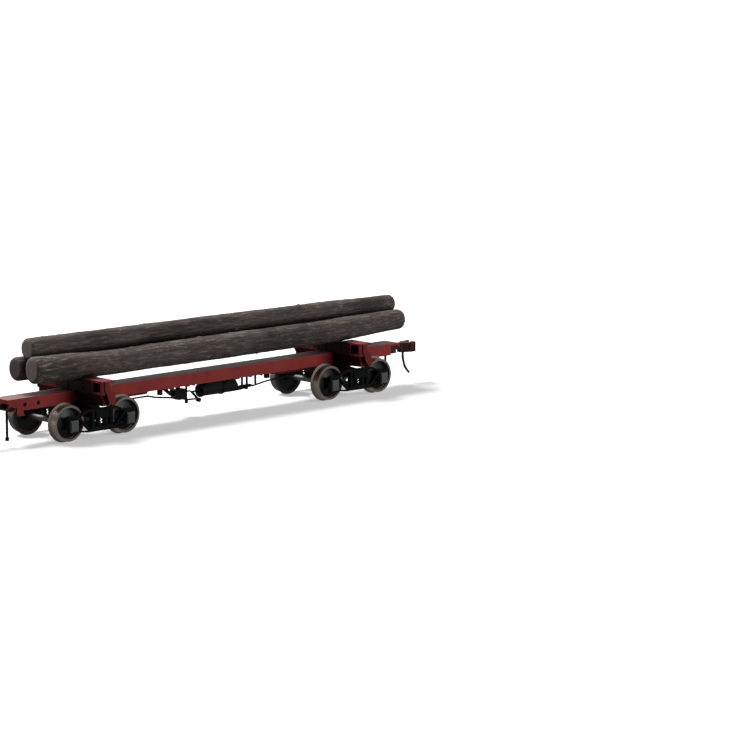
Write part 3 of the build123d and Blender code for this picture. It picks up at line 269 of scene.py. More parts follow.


# ---- Painted and bare surfaces ----
# Each paint: its colour, that of its rubbed edges and that of its dust and painted sheen, from 0
# to 255, the span of its roughness, the width of the rubbed edges in mm, and how much of the
# rubbing and of the dust and sheen shows. The crevice shade is painted shade: the reach of its
# darkening in mm and the open and the shut end of its ramp. A log-shadowed paint also carries a
# painted shadow.
PAINTS = {
    # On the sills the pale colour on upward faces stands mostly for a painted sheen, partly for
    # dust.
    "red_brown_paint": dict(
        base=(134, 49, 46), worn=(168, 106, 96), dust_and_sheen=(108, 84, 84),
        rough=(0.45, 0.65), edge_share=0.3, dust_and_sheen_share=1.0, specular=0.12),
    "bunk_paint": dict(
        base=(98, 32, 33), worn=(150, 86, 84), dust_and_sheen=(98, 60, 62),
        rough=(0.45, 0.65), edge=0.1, edge_share=0.4, dust_and_sheen_share=0.6, specular=0.08,
        crevice_shade=(9.0, 0.75, 0.42), log_shadowed=True),
    "lug_paint": dict(
        base=(108, 38, 37), worn=(156, 92, 88), dust_and_sheen=(98, 60, 62),
        rough=(0.45, 0.65), edge=0.1, edge_share=0.4, dust_and_sheen_share=0.6, specular=0.08),
    # The bolsters wear the bunks' red made darker, as painted shade under the bunks.
    "bolster_shaded_paint": dict(
        base=(76, 28, 28), worn=(110, 62, 60), dust_and_sheen=(70, 46, 46),
        rough=(0.5, 0.7), edge=0.1, edge_share=0.25, dust_and_sheen_share=0.3, specular=0.05,
        crevice_shade=(9.0, 0.75, 0.42), log_shadowed=True),
    "black_moulding": dict(
        base=(12, 13, 13), worn=(50, 54, 55), dust_and_sheen=(28, 29, 28),
        rough=(0.55, 0.8), edge=0.1, edge_share=0.45, dust_and_sheen_share=0.2, specular=0.04,
        crevice_shade=(4.0, 0.7, 0.3)),
    "journal_box_black": dict(
        base=(76, 79, 79), worn=(124, 128, 130), dust_and_sheen=(84, 85, 84),
        rough=(0.45, 0.6), edge=0.1, dust_and_sheen_share=0.3),
    "brake_black": dict(
        base=(22, 18, 18), worn=(52, 46, 44), dust_and_sheen=(40, 36, 35),
        rough=(0.55, 0.75), edge=0.08, edge_share=0.3, dust_and_sheen_share=0.25, specular=0.06),
    "draft_box_brown": dict(
        base=(52, 24, 22), worn=(96, 60, 54), dust_and_sheen=(70, 44, 42),
        rough=(0.5, 0.7), edge=0.1, edge_share=0.3, dust_and_sheen_share=0.3),
    "coupler_brown": dict(
        base=(46, 20, 17), worn=(104, 70, 60), dust_and_sheen=(66, 42, 37),
        rough=(0.45, 0.65), edge=0.1, edge_share=0.45, dust_and_sheen_share=0.3, metallic=0.3),
    "dark_wire": dict(
        base=(34, 32, 32), worn=(96, 90, 86), dust_and_sheen=(50, 47, 45),
        rough=(0.35, 0.5), edge=0.05, edge_share=0.2, dust_and_sheen_share=0.1, metallic=0.6),
    "spring_bronze": dict(
        base=(150, 108, 62), worn=(190, 150, 96), dust_and_sheen=(120, 100, 80),
        rough=(0.3, 0.5), edge=0.05, edge_share=0.3, dust_and_sheen_share=0.2, metallic=0.9),
    "screw_steel": dict(
        base=(84, 82, 80), worn=(150, 148, 146), dust_and_sheen=(80, 76, 72),
        rough=(0.35, 0.55), edge=0.08, dust_and_sheen_share=0.2, metallic=0.8),
}
# The CAD nodes that wear each paint, by how their names start. A later line wins.
WEARERS = {
    "red_brown_paint": ("side_sill", "sill_"),
    "bunk_paint": ("log_bunk", "bunk_end"),
    "bolster_shaded_paint": ("body_bolster",),
    "draft_box_brown": ("draft_box", "draft_lid"),
    "black_moulding": ("truck_", "spring_plank", "arch_bars"),
    "journal_box_black": ("journal_boxes",),
    "brake_black": ("brake_", "air_reservoir", "cylinder_", "triple_valve", "rod_hangers",
                    "pull_rods"),
    "coupler_brown": ("coupler", "knuckle"),
    "dark_wire": ("trip_pin", "knuckle_pin"),
    "spring_bronze": ("centring_spring",),
    "screw_steel": ("king_pins", "draft_screws", "axle"),
}
PATCH_GRAIN = 6.0
PAINT_GRAIN = 0.35
PAINT_RELIEF = 0.02
DARKER, LIGHTER = 0.62, 1.25
# The spans of noise, or of the upward slope, over which one look gives way to the next.
MOTTLE_SPAN = (0.3, 0.7)
SPECKLE_SPAN = (0.35, 0.75)
RUB_SPAN = (0.25, 0.6)
UPWARD_SPAN = (0.4, 1.0)
DUST_AND_SHEEN_SPAN = (0.1, 0.5)
PAINT_GLOSS_SPAN = (0.25, 0.75)
# Painted shade: how strongly crevices and undersides are darkened, and the colour of this painted
# shade and of the painted log shadow.
CREVICE_SHADE_STRENGTH = 0.75
SHADE_COLOUR = (0.003, 0.0025, 0.002, 1.0)
# The painted shadow of the near log lies between these places across the car, in mm, and fades
# over these widths.
LOG_SHADOW_OUTER, LOG_SHADOW_INNER = -9.7, 1.0
LOG_SHADOW_OUTER_FADE, LOG_SHADOW_INNER_FADE = 0.8, 1.5
LOG_SHADOW_RAGGED = 1.2
LOG_SHADOW_FACING = (-0.3, -0.7)
LOG_SHADOW_STRENGTH = 0.82


def painted_log_shadow(tree, patches):
    """Painted shadow of the near log: dark on the faces towards -X under it, with a soft ragged
    edge.
    """
    across = along_axes(tree, object_place(tree))["Y"]
    across = maths(tree, "MULTIPLY_ADD", patches, LOG_SHADOW_RAGGED * MM, across)
    begins = ramp(tree, across, (LOG_SHADOW_OUTER - LOG_SHADOW_OUTER_FADE) * MM,
                  (LOG_SHADOW_OUTER + LOG_SHADOW_OUTER_FADE) * MM)
    ends = ramp(tree, across, (LOG_SHADOW_INNER + LOG_SHADOW_INNER_FADE) * MM,
                (LOG_SHADOW_INNER - LOG_SHADOW_INNER_FADE) * MM)
    facing = ramp(tree, normal_part(tree, "X"), *LOG_SHADOW_FACING)
    return times(tree, begins, ends, facing, LOG_SHADOW_STRENGTH)


def weathered(name, base, worn, dust_and_sheen, rough, dust_and_sheen_share, edge=0.12, edge_share=0.5,
              metallic=0.0, specular=0.15, crevice_shade=(4.0, 0.62, 0.12), log_shadowed=False):
    """Moulded plastic or metal under matt paint: mottled, rubbed at the edges, with dust and a
    painted sheen on top and painted shade in its crevices.
    """
    material, tree, shader = new_material(name)
    paint = rgb(*base)
    patches = noise_of(tree, PATCH_GRAIN, seed=1.0)
    fine = noise_of(tree, PAINT_GRAIN, seed=2.0, detail=6.0)
    colour = blend(tree, ramp(tree, patches, *MOTTLE_SPAN),
                   scaled(paint, DARKER), scaled(paint, LIGHTER))
    colour = blend(tree, ramp(tree, fine, *SPECKLE_SPAN), colour, paint)
    rubbed = times(tree, edge_mask(tree, edge), ramp(tree, patches, *RUB_SPAN), edge_share)
    colour = blend(tree, rubbed, colour, rgb(*worn))
    # Dust and a painted sheen lighten the faces that look up.
    up = ramp(tree, normal_part(tree, "Z"), *UPWARD_SPAN)
    dust_and_sheen_mask = times(tree, up, ramp(tree, fine, *DUST_AND_SHEEN_SPAN), dust_and_sheen_share)
    colour = blend(tree, dust_and_sheen_mask, colour, rgb(*dust_and_sheen))
    # Painted shade: crevices and the undersides of overhangs are darkened towards near black.
    colour = blend(tree, times(tree, crevice_shade_mask(tree, *crevice_shade), CREVICE_SHADE_STRENGTH), colour, SHADE_COLOUR)
    # Painted shadow of the near log, on the -X faces of the bunks and bolsters.
    if log_shadowed:
        colour = blend(tree, painted_log_shadow(tree, patches), colour, SHADE_COLOUR)
    roughness = ramp(tree, fine, *PAINT_GLOSS_SPAN, *rough)
    coat(tree, shader, colour, roughness, bump(tree, fine, PAINT_RELIEF), specular)
    shader.inputs["Metallic"].default_value = metallic
    return material


# A wheel's rim and tread each begin between two radii, in mm. The tread lies where the normal
# turns away from the axle, and the dish and the tread each have two colours.
RIM_FROM = (3.85, 4.1)
TREAD_FROM = (4.5, 4.68)
TREAD_FACING = (0.6, 0.3)
WHEEL_DISH = ((12, 11, 10), (22, 20, 18))
WHEEL_TREAD = ((114, 105, 98), (152, 141, 132))
WHEEL_RIM, RIM_SHARE = (122, 112, 105), 0.75
WHEEL_EDGE, WHEEL_EDGE_WIDTH, WHEEL_EDGE_SHARE = (120, 112, 106), 0.12, 0.5
WHEEL_ROUGH = (0.28, 0.42)
WHEEL_RELIEF = 0.01
WHEEL_SPECULAR = 0.15
WHEEL_METALLIC = 0.8
# The far wheels' treads and rims are painted this share as bright as the near ones: painted
# shade.
FAR_WHEEL_SHADED_LEVEL = 0.4


def wheel_metal(name, centre):
    """Blackened metal with a bright rolled tread, a rubbed rim and a dark dish.

    The far wheel of each set is painted duller than the near one, as painted shade.
    """
    material, tree, shader = new_material(name)
    place = along_axes(tree, object_place(tree))
    offsets = [maths(tree, "SUBTRACT", place["X"], centre.x),
               maths(tree, "SUBTRACT", place["Z"], centre.z)]
    squares = [times(tree, offset, offset) for offset in offsets]
    radius = maths(tree, "SQRT", maths(tree, "ADD", *squares))
    # Painted shade: full brightness on the near wheel, less on the far one.
    near_lit_far_shaded = maths(tree, "MULTIPLY_ADD", ramp(tree, place["Y"], MM, -MM),
                  1 - FAR_WHEEL_SHADED_LEVEL, FAR_WHEEL_SHADED_LEVEL)
    side = maths(tree, "ABSOLUTE", normal_part(tree, "Y"))
    outer = ramp(tree, radius, *(r * MM for r in TREAD_FROM))
    tread = times(tree, outer, ramp(tree, side, *TREAD_FACING), near_lit_far_shaded)
    rim = times(tree, ramp(tree, radius, *(r * MM for r in RIM_FROM)), near_lit_far_shaded)
    fine = noise_of(tree, grain=0.5, seed=4.0, detail=6.0)
    patches = noise_of(tree, grain=2.5, seed=5.0)
    dish = blend(tree, ramp(tree, patches, *MOTTLE_SPAN), *(rgb(*c) for c in WHEEL_DISH))
    rolled = blend(tree, ramp(tree, fine, *MOTTLE_SPAN), *(rgb(*c) for c in WHEEL_TREAD))
    face = blend(tree, times(tree, rim, RIM_SHARE), dish, rgb(*WHEEL_RIM))
    rubbed = times(tree, edge_mask(tree, WHEEL_EDGE_WIDTH), WHEEL_EDGE_SHARE)
    face = blend(tree, rubbed, face, rgb(*WHEEL_EDGE))
    colour = blend(tree, tread, face, rolled)
    roughness = ramp(tree, fine, *MOTTLE_SPAN, *WHEEL_ROUGH)
    coat(tree, shader, colour, roughness, bump(tree, fine, WHEEL_RELIEF), WHEEL_SPECULAR)
    bare = times(tree, maths(tree, "MAXIMUM", tread, rim), WHEEL_METALLIC)
    tree.links.new(bare, shader.inputs["Metallic"])
    return material


# The colours of the bark and the sawn wood, the spans over which they take over, of noise or
# of the bark's height, and how much of each shows.
BARK_DARK, BARK_LIGHT, FIBRE_SPAN = (44, 38, 36), (94, 85, 82), (0.32, 0.68)
BARK_PATCH, BARK_PATCH_SPAN = (66, 59, 57), (0.35, 0.7)
BARK_SCUFF, SCUFF_SPAN, SCUFF_SHARE = (146, 137, 122), (0.53, 0.61), 0.85
BARK_KNOB, KNOB_SPAN, KNOB_SHARE = (124, 118, 112), (0.82, 0.96), 0.5
BARK_FURROW, FURROW_SPAN, FURROW_SHARE = (24, 21, 20), (0.38, 0.15), 0.6
WOOD_DARK, WOOD_LIGHT, RING_SPAN = (98, 88, 87), (128, 116, 114), (-1.0, 1.0)
WOOD_GREY, GREY_SPAN = (112, 102, 100), (0.4, 0.7)
WOOD_OLD = (76, 66, 64)
FIBRE_STRETCH = (300.0, 1900.0, 1900.0)
SCUFF_STRETCH = (330.0, 1900.0, 1900.0)
RING_COUNT = 46.0
RING_WAVER = 0.12
# Painted shade between the logs and under them: its reach in mm, its ramp, and how dark it goes.
BARK_CREVICE_SHADE = (4.0, 0.66, 0.3)
BARK_CREVICE_SHADE_STRENGTH = 0.9
BARK_ROUGH = (0.6, 0.85)
BARK_RELIEF = 0.05
BARK_SPECULAR = 0.12


def bark(name):
    """Dark fibrous bark with pale scuffs, light knobs and dark furrows, ringed sawn ends, and
    painted shade in the crevices.
    """
    material, tree, shader = new_material(name)
    along = streaks_of(tree, FIBRE_STRETCH, detail=8.0, roughness=0.65)
    patches = noise_of(tree, grain=9.0, seed=7.0, detail=3.0)
    fine = noise_of(tree, grain=0.4, seed=8.0, detail=6.0)
    streaks = streaks_of(tree, SCUFF_STRETCH, detail=5.0, roughness=0.6)
    height = mark(tree, "height")
    skin = blend(tree, ramp(tree, along, *FIBRE_SPAN), rgb(*BARK_DARK), rgb(*BARK_LIGHT))
    skin = blend(tree, ramp(tree, patches, *BARK_PATCH_SPAN), skin, rgb(*BARK_PATCH))
    scuff = times(tree, ramp(tree, streaks, *SCUFF_SPAN), mark(tree, "rubbed"), SCUFF_SHARE)
    skin = blend(tree, scuff, skin, rgb(*BARK_SCUFF))
    knob = times(tree, ramp(tree, height, *KNOB_SPAN), KNOB_SHARE)
    skin = blend(tree, knob, skin, rgb(*BARK_KNOB))
    furrow = times(tree, ramp(tree, height, *FURROW_SPAN), FURROW_SHARE)
    skin = blend(tree, furrow, skin, rgb(*BARK_FURROW))
    wavering = maths(tree, "MULTIPLY_ADD", fine, RING_WAVER, mark(tree, "ring"))
    rings = maths(tree, "SINE", times(tree, wavering, RING_COUNT))
    wood = blend(tree, ramp(tree, rings, *RING_SPAN), rgb(*WOOD_DARK), rgb(*WOOD_LIGHT))
    wood = blend(tree, ramp(tree, fine, *GREY_SPAN), wood, rgb(*WOOD_GREY))
    wood = blend(tree, mark(tree, "pale"), rgb(*WOOD_OLD), wood)
    colour = blend(tree, mark(tree, "sawn"), skin, wood)
    # Painted shade where the logs meet and overhang.
    shut = times(tree, crevice_shade_mask(tree, *BARK_CREVICE_SHADE), BARK_CREVICE_SHADE_STRENGTH)
    colour = blend(tree, shut, colour, SHADE_COLOUR)
    roughness = ramp(tree, fine, *MOTTLE_SPAN, *BARK_ROUGH)
    coat(tree, shader, colour, roughness, bump(tree, along, BARK_RELIEF), BARK_SPECULAR)
    return material


# ---- Floor and surround ----
def seen_directly(tree):
    """1 for what the camera, mirrors and glass see, 0 for what only lights the car."""
    rays = make_node(tree, "ShaderNodeLightPath").outputs
    seen = maths(tree, "MAXIMUM", rays["Is Camera Ray"], rays["Is Glossy Ray"])
    return maths(tree, "MAXIMUM", seen, rays["Is Transmission Ray"])


def studio_floor():
    """A pale floor, white away from the car, that keeps its shadow and is clear from below."""
    material = bpy.data.materials.new("pale_floor")
    material.use_nodes = True
    tree = material.node_tree
    tree.nodes.remove(tree.nodes["Principled BSDF"])
    away = make_node(tree, "ShaderNodeVectorMath", {0: object_place(tree)}, operation="LENGTH")
    brightness = ramp(tree, away.outputs["Value"], *FLOOR_GLOW_SPAN, *FLOOR_GLOW)
    glow = make_node(tree, "ShaderNodeEmission",
                     {"Strength": times(tree, seen_directly(tree), brightness)})
    camera_ray = make_node(tree, "ShaderNodeLightPath").outputs["Is Camera Ray"]
    grey = maths(tree, "MULTIPLY_ADD", camera_ray, FLOOR_SEEN - FLOOR_BOUNCE, FLOOR_BOUNCE)
    matt = make_node(tree, "ShaderNodeBsdfDiffuse", {"Color": grey})
    both = make_node(tree, "ShaderNodeAddShader")
    tree.links.new(matt.outputs[0], both.inputs[0])
    tree.links.new(glow.outputs[0], both.inputs[1])
    below = make_node(tree, "ShaderNodeNewGeometry").outputs["Backfacing"]
    one_sided = make_node(tree, "ShaderNodeMixShader", {"Fac": below})
    tree.links.new(both.outputs[0], one_sided.inputs[1])
    clear = make_node(tree, "ShaderNodeBsdfTransparent")
    tree.links.new(clear.outputs[0], one_sided.inputs[2])
    tree.links.new(one_sided.outputs[0], tree.nodes["Material Output"].inputs["Surface"])
    return material


def add_studio():
    """A large floor under the wheels, and a white surround that lights the car only dimly."""
    mesh = bpy.data.meshes.new("floor")
    low = CAD_BOX[0][2] - FLOOR_DROP * MM
    quarters = ((-1, -1), (1, -1), (1, 1), (-1, 1))
    corners = [(x * FLOOR_REACH, y * FLOOR_REACH, low) for x, y in quarters]
    mesh.from_pydata(corners, [], [(0, 1, 2, 3)])
    mesh.materials.append(studio_floor())
    floor = add_object("floor", mesh)
    world = bpy.data.worlds.new("surround")
    bpy.context.scene.world = world
    world.use_nodes = True
    tree = world.node_tree
    background = tree.nodes["Background"]
    strength = maths(tree, "MULTIPLY_ADD", seen_directly(tree), 1.0 - AMBIENT, AMBIENT)
    tree.links.new(strength, background.inputs["Strength"])
    background.inputs["Color"].default_value = WHITE


# ---- Logs ----
# How a CAD log's circles are found: their places are told apart to this many digits of a metre,
# and each has at least this many points and is wider than this many mm.
PLACE_DIGITS = 5
CIRCLE_POINTS = 12
CIRCLE_WIDTH = 2
# The grown logs' rings and the points on each. Lengths are in mm.
LOG_STEP = 0.4
LOG_AROUND = 120
END_ROUND = 0.9
END_RINGS = 8
SHOULDER_RINGS = 4
SAWN_SHOULDER_RINGS = 2
# Each log: the seed of its bark, how much further than the CAD one its first end reaches, in
# mm, how worn it is at that end and further along, how pale its sawn ends are, and its shape.
# The shape's rows give a share of the length, the radius taken off, the lift and the sideways
# shift there, in mm, and the width against the height.
LOGS = {
    "log_near": dict(
        seed=3.0, reach=0.5, wear=(1.0, 0.35), pale=1.0,
        shape=((0.0, -0.3, 0.0, 0.0, 0.8), (0.08, 0.0, 0.0, 0.0, 0.95),
               (0.17, 0.37, -0.3, 0.0, 1.0), (0.78, 0.37, -0.3, 0.0, 1.0),
               (0.88, 0.25, 0.0, 0.0, 1.0), (1.0, 0.1, 0.2, 0.0, 1.0))),
    "log_far": dict(
        seed=11.0, reach=0.5, wear=(0.3, 0.2), pale=0.15,
        shape=((0.0, 0.0, 0.0, -0.5, 0.9), (0.1, 0.0, 0.0, 0.0, 1.0),
               (1.0, 0.0, 0.0, 0.0, 1.0))),
    "log_top": dict(
        seed=23.0, reach=-0.25, wear=(0.4, 0.3), pale=1.0,
        shape=((0.0, 0.0, -0.1, 0.0, 0.95), (0.7, 0.0, -0.1, 0.0, 1.0),
               (1.0, 0.1, -0.2, 0.0, 1.0))),
}
WORN_SHARE = 0.16
# The bark's relief, in mm: its mean depth, the most that it stands proud and the depth that
# counts as a furrow's bottom. On the sawn ends it fades with this power of the radius. Each kind
# of relief has its height and its scale along and round the log.
BARK_MEAN = 0.13
BARK_PROUD = 0.12
BARK_REACH = 0.28
BARK_FADE = 3
TWIST, TWIST_ALONG = 0.35, 0.05
STRAND, STRAND_ALONG, STRAND_ROUND = 0.06, 0.22, 1.5
STRAND_DIMENSION, STRAND_LACUNARITY, STRAND_OCTAVES = 1.0, 2.1, 4
CRACK, CRACK_ALONG, CRACK_ROUND = 0.06, 0.11, 0.8
CRACK_SHARPNESS = 8
SWELL, SWELL_ALONG, SWELL_ROUND = 0.14, 0.07, 0.15
# The stubs of cut branches: how many, how far from the ends, how wide and how high, in mm.
KNOTS_PER_LOG = 26
KNOT_END_ROOM = 3.0
KNOT_WIDTHS = (0.35, 0.8)
KNOT_HEIGHTS = (0.1, 0.28)


def log_rings(node):
    """The CAD log's circles: their place along the car, their centre and their radius."""
    places = np.array([v.co for v in NODES[node].data.vertices])
    keys = np.round(places[:, 0], PLACE_DIGITS)
    rings = []
    for x in np.unique(keys):
        ring = places[keys == x]
        low, high = ring[:, 1:].min(0), ring[:, 1:].max(0)
        if len(ring) >= CIRCLE_POINTS and (high - low).min() > CIRCLE_WIDTH * MM:
            rings.append((x, *(low + high) / 2, (high - low).mean() / 2))
    return np.array(rings)


def knots_of(seed, length):
    """Where the stubs of cut branches stand: place along the log, angle, width and height."""
    pick = np.random.default_rng(int(seed))
    spans = ((KNOT_END_ROOM, length / MM - KNOT_END_ROOM), (-math.pi, math.pi),
             KNOT_WIDTHS, KNOT_HEIGHTS)
    return np.column_stack([pick.uniform(*span, KNOTS_PER_LOG) for span in spans])


def bark_depth(x, angle, radius, seed, knots):
    """How far the bark stands in from the log's outline, in millimetres."""
    twist = TWIST * noise.noise(Vector((x * TWIST_ALONG, seed, 0)))
    u, v = math.cos(angle + twist) * radius, math.sin(angle + twist) * radius
    place = Vector((x * STRAND_ALONG + seed, u * STRAND_ROUND, v * STRAND_ROUND))
    strands = noise.fractal(place, STRAND_DIMENSION, STRAND_LACUNARITY, STRAND_OCTAVES)
    place = Vector((x * CRACK_ALONG, u * CRACK_ROUND + seed, v * CRACK_ROUND))
    cracks = (1.0 - abs(noise.noise(place))) ** CRACK_SHARPNESS
    swell = noise.noise(Vector((x * SWELL_ALONG + seed, u * SWELL_ROUND, v * SWELL_ROUND)))
    depth = BARK_MEAN + STRAND * strands + CRACK * cracks + SWELL * swell
    turn = (angle - knots[:, 1] + math.pi) % (2 * math.pi) - math.pi
    apart = np.hypot(x - knots[:, 0], turn * radius) / knots[:, 2]
    return depth - float(np.sum(knots[:, 3] * np.exp(-apart * apart)))


def end_profile(radius):
    """Rings from the middle of a sawn end out to its rounded shoulder.

    Each has its depth from the end, its share of the radius and how much of it is sawn wood.
    """
    flat = 1.0 - END_ROUND * MM / radius
    rings = [(0.0, flat * (n / END_RINGS), 1.0) for n in range(1, END_RINGS + 1)]
    for n in range(1, SHOULDER_RINGS + 1):
        turn = math.radians(90 * n / SHOULDER_RINGS)
        share = flat + (1.0 - flat) * math.sin(turn)
        sawn = max(1.0 - n / SAWN_SHOULDER_RINGS, 0.0)
        rings.append((END_ROUND * MM * (1 - math.cos(turn)), share, sawn))
    return rings


def log_rows(start, stop, first_radius, last_radius):
    """The rings that make up a log: place along the car, share of the radius and sawn part."""
    shoulder = END_ROUND * MM
    count = int((stop - start) / (LOG_STEP * MM))
    middle = np.linspace(start + shoulder, stop - shoulder, count)
    rows = [(start + depth, share, sawn) for depth, share, sawn in end_profile(first_radius)]
    rows += [(x, 1.0, 0.0) for x in middle[1:-1]]
    last_end = reversed(end_profile(last_radius))
    return rows + [(stop - depth, share, sawn) for depth, share, sawn in last_end]


def log_faces(row_count):
    """The quads between a log's rings, and the two faces in the middle of its ends."""
    faces = []
    for row in range(row_count - 1):
        for k in range(LOG_AROUND):
            a, b = row * LOG_AROUND + k, row * LOG_AROUND + (k + 1) % LOG_AROUND
            faces.append((a, a + LOG_AROUND, b + LOG_AROUND, b))
    last = (row_count - 1) * LOG_AROUND
    faces.append(tuple(range(LOG_AROUND)))
    faces.append(tuple(last + k for k in reversed(range(LOG_AROUND))))
    return faces


def build_log(node):
    """A log grown on the CAD one's rings: a barked side, rounded shoulders and sawn ends."""
    looks = LOGS[node]
    seed, (worn_end, worn_rest) = looks["seed"], looks["wear"]
    rings, shape = log_rings(node), np.array(looks["shape"])
    inner = rings[1:-1]
    start, stop = rings[0, 0] - looks["reach"] * MM, rings[-1, 0]
    knots = knots_of(seed, stop - start)
    rows = log_rows(start, stop, inner[0, 3], inner[-1, 3])
    verts = []
    marks = {"height": [], "sawn": [], "ring": [], "rubbed": [], "pale": []}
    for x, share, sawn in rows:
        length_share = (x - start) / (stop - start)
        taken, lift, shift, squash = (np.interp(length_share, shape[:, 0], shape[:, k])
                                      for k in range(1, 5))
        y = np.interp(x, rings[:, 0], rings[:, 1]) + shift * MM
        z = np.interp(x, rings[:, 0], rings[:, 2]) + lift * MM
        radius = np.interp(x, inner[:, 0], inner[:, 3]) - taken * MM
        worn = max(worn_rest, worn_end * (1.0 - length_share / WORN_SHARE))
        for k in range(LOG_AROUND):
            angle = 2 * math.pi * k / LOG_AROUND
            depth = bark_depth((x - start) / MM, angle, radius / MM, seed, knots)
            depth = max(depth, -BARK_PROUD)
            reach = radius * share - depth * MM * share ** BARK_FADE
            verts.append((x, y + math.cos(angle) * reach * squash, z + math.sin(angle) * reach))
            height = 1.0 - min(depth / BARK_REACH, 1.0)
            for values, value in zip(marks.values(), (height, sawn, share, worn, looks["pale"])):
                values.append(value)
    mesh = bpy.data.meshes.new(f"{node}_bark")
    mesh.from_pydata(verts, [], log_faces(len(rows)))
    for name, values in marks.items():
        attribute = mesh.attributes.new(name, "FLOAT", "POINT")
        attribute.data.foreach_set("value", np.array(values, np.float32))
    mesh.polygons.foreach_set("use_smooth", [True] * len(mesh.polygons))
    log = add_object(f"{node}_bark", mesh)
    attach(log, "log_load")
    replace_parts(log, node)
    return log


# ---- Bunk lugs and webs, trip pins and whisker leaves ----
DECK_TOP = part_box("sill_cover_plate")[1].z / MM
# The castings on the bunks' ends, in mm: their outline and their bolts from the bunk's middle
# and the deck's top.
LUG_OUTLINE = ((-1.35, 3.55), (0.3, 3.55), (0.35, 0.9), (0.9, 0.45), (2.25, -0.7),
               (2.25, -2.4), (1.75, -2.9), (0.95, -2.85), (-0.1, -1.8), (-0.75, 0.1),
               (-1.35, 1.2))
LUG_BOLTS = ((-0.55, 2.75), (1.2, -1.5))
LUG_THICKNESS = 0.36
LUG_BEVEL = 0.08
BOLT_RADIUS = 0.28
BOLT_HEIGHT = 0.08
BOLT_BEVEL = BOLT_HEIGHT / 3
# The plates in the bunks' recesses, in mm: their two ends across the car and their top over
# the deck.
WEB_PLATES = ((-9.9, -6.45, 3.15), (-4.8, -0.3, 2.25), (0.3, 4.8, 2.25), (6.45, 9.9, 3.15),
              (10.5, 13.9, 3.15))
WEB_FOOT = 0.5
WEB_INSET = 0.12
WEB_THICKNESS = 0.4
WEB_BEVEL = 0.05
PIN_SLEEVE = 0.1
WHISKER_HELD = 0.31
WHISKER_DRAWN_IN = 0.27


def body_piece(work, name):
    """Turns the worked mesh into a piece of the car's body."""
    mesh = bpy.data.meshes.new(name)
    work.to_mesh(mesh)
    work.free()
    piece = add_object(name, mesh)
    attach(piece, "car_body")
    return piece


def copied(node_name, name, body):
    """A copy of a CAD node, to be reshaped and shown in its place."""
    mesh = NODES[node_name].data.copy()
    mesh.materials.clear()
    piece = add_object(name, mesh)
    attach(piece, body)
    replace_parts(piece, node_name)
    return piece


def add_plate(work, outline, inner, outer, bevel):
    """A casting with that outline in X and Z, from one Y to the other, its outer rim rounded."""
    back, front = [[work.verts.new((x * MM, y * MM, z * MM)) for x, z in outline]
                   for y in (inner, outer)]
    faces = [work.faces.new(back), work.faces.new(front)]
    for k in range(len(outline)):
        after = (k + 1) % len(outline)
        faces.append(work.faces.new((back[k], back[after], front[after], front[k])))
    bmesh.ops.recalc_face_normals(work, faces=faces)
    rim = [e for e in work.edges if e.verts[0] in front and e.verts[1] in front]
    bmesh.ops.bevel(work, geom=rim, offset=bevel * MM, segments=2, profile=0.5, affect="EDGES")


def add_block(work, *spans):
    """A block between the ends of its spans in X, Y and Z, given in mm."""
    made = bmesh.ops.create_cube(work, size=1.0)["verts"]
    for vertex in made:
        corner = [(a + b) / 2 + c * (b - a) for (a, b), c in zip(spans, vertex.co)]
        vertex.co = Vector(corner) * MM
    edges = {edge for vertex in made for edge in vertex.link_edges}
    bmesh.ops.bevel(work, geom=list(edges), offset=WEB_BEVEL * MM, segments=1, affect="EDGES")


def build_lugs():
    """The castings on the bunks' ends: an upright, a waist and a splayed foot, with two bolts."""
    work = bmesh.new()
    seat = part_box("log_bunk_a")[1].y / MM
    face = seat + LUG_THICKNESS
    turns = [math.radians(60 * k) for k in range(6)]
    for end in "ab":
        low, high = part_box(f"log_bunk_{end}")
        middle = (low.x + high.x) / 2 / MM
        outline = [(middle + x, DECK_TOP + z) for x, z in LUG_OUTLINE]
        for side in (-1, 1):
            add_plate(work, outline, side * seat, side * face, LUG_BEVEL)
            for x, z in LUG_BOLTS:
                head = [(middle + x + BOLT_RADIUS * math.cos(turn),
                         DECK_TOP + z + BOLT_RADIUS * math.sin(turn)) for turn in turns]
                add_plate(work, head, side * face, side * (face + BOLT_HEIGHT), BOLT_BEVEL)
    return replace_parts(body_piece(work, "bunk_lugs"), "bunk_end_lugs")


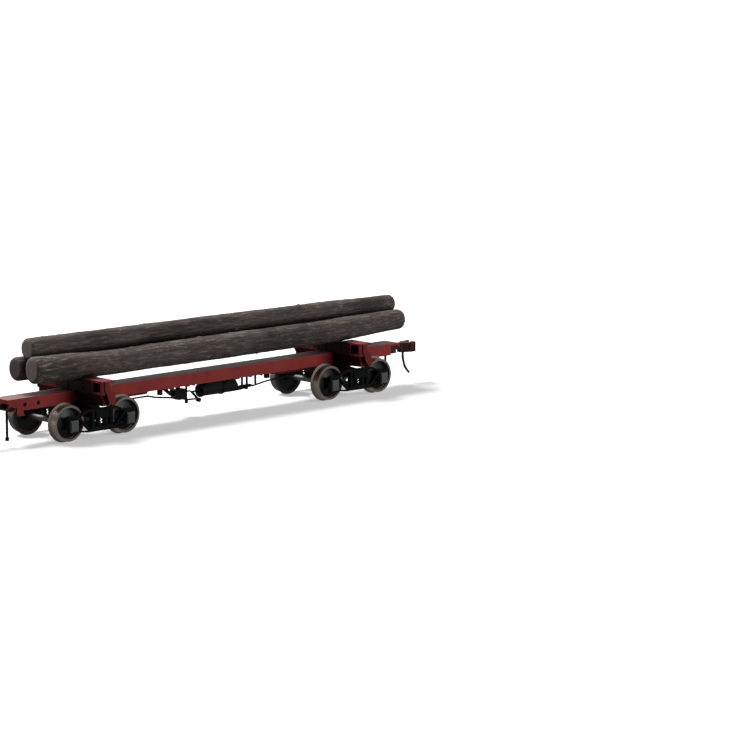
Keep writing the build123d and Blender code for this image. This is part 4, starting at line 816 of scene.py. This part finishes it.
def build_webs():
    """Plates that close the bunks' recesses on the -X side, but for the outermost near one."""
    work = bmesh.new()
    for end in "ab":
        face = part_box(f"log_bunk_{end}")[0].x / MM + WEB_INSET
        for y0, y1, top in WEB_PLATES:
            add_block(work, (face, face + WEB_THICKNESS), (y0, y1),
                      (DECK_TOP + WEB_FOOT, DECK_TOP + top))
    return body_piece(work, "bunk_webs")


def build_trip_pin(end):
    """The curved pin under a coupler, in a sleeve a little thicker than its wire."""
    pin = copied(f"trip_pin_{end}", f"trip_hose_{end}", f"knuckle_{end}")
    knuckle_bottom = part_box(f"knuckle_{end}")[0].z
    for vertex in pin.data.vertices:
        if vertex.co.z < knuckle_bottom - PIN_SLEEVE * MM:
            vertex.co += vertex.normal * PIN_SLEEVE * MM
    return pin


def build_whiskers(end):
    """The coupler's centring leaves, drawn in so that they clear the draft box as it swings."""
    leaves = copied(f"centring_spring_{end}", f"centring_leaves_{end}", f"coupler_{end}")
    reach = [abs(vertex.co.x) for vertex in leaves.data.vertices]
    root, tip = min(reach), max(reach)
    for vertex in leaves.data.vertices:
        share = (abs(vertex.co.x) - root) / (tip - root)
        drawn = max(0.0, share - WHISKER_HELD) / (1 - WHISKER_HELD) * WHISKER_DRAWN_IN
        vertex.co.y -= math.copysign(drawn * MM, vertex.co.y)
    return leaves


def dress_car():
    """Gives every CAD node its material, and adds the pieces that are made here."""
    paints = {name: weathered(name, **looks) for name, looks in PAINTS.items()}
    for paint, starts in WEARERS.items():
        for name, node in NODES.items():
            if name.startswith(starts):
                node.data.materials.clear()
                node.data.materials.append(paints[paint])
    for name, node in NODES.items():
        if name.startswith("wheels_"):
            low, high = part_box(name)
            node.data.materials.clear()
            node.data.materials.append(wheel_metal(f"{name}_metal", (low + high) / 2))
    build_lugs().data.materials.append(paints["lug_paint"])
    build_webs().data.materials.append(paints["bunk_paint"])
    for end in "ab":
        build_trip_pin(end).data.materials.append(paints["dark_wire"])
        build_whiskers(end).data.materials.append(paints["spring_bronze"])


add_camera()
add_lamps()
add_studio()
dress_car()
bark_material = bark("log_bark")
for log_node in LOGS:
    build_log(log_node).data.materials.append(bark_material)

bpy.context.scene.view_settings.view_transform = "Standard"
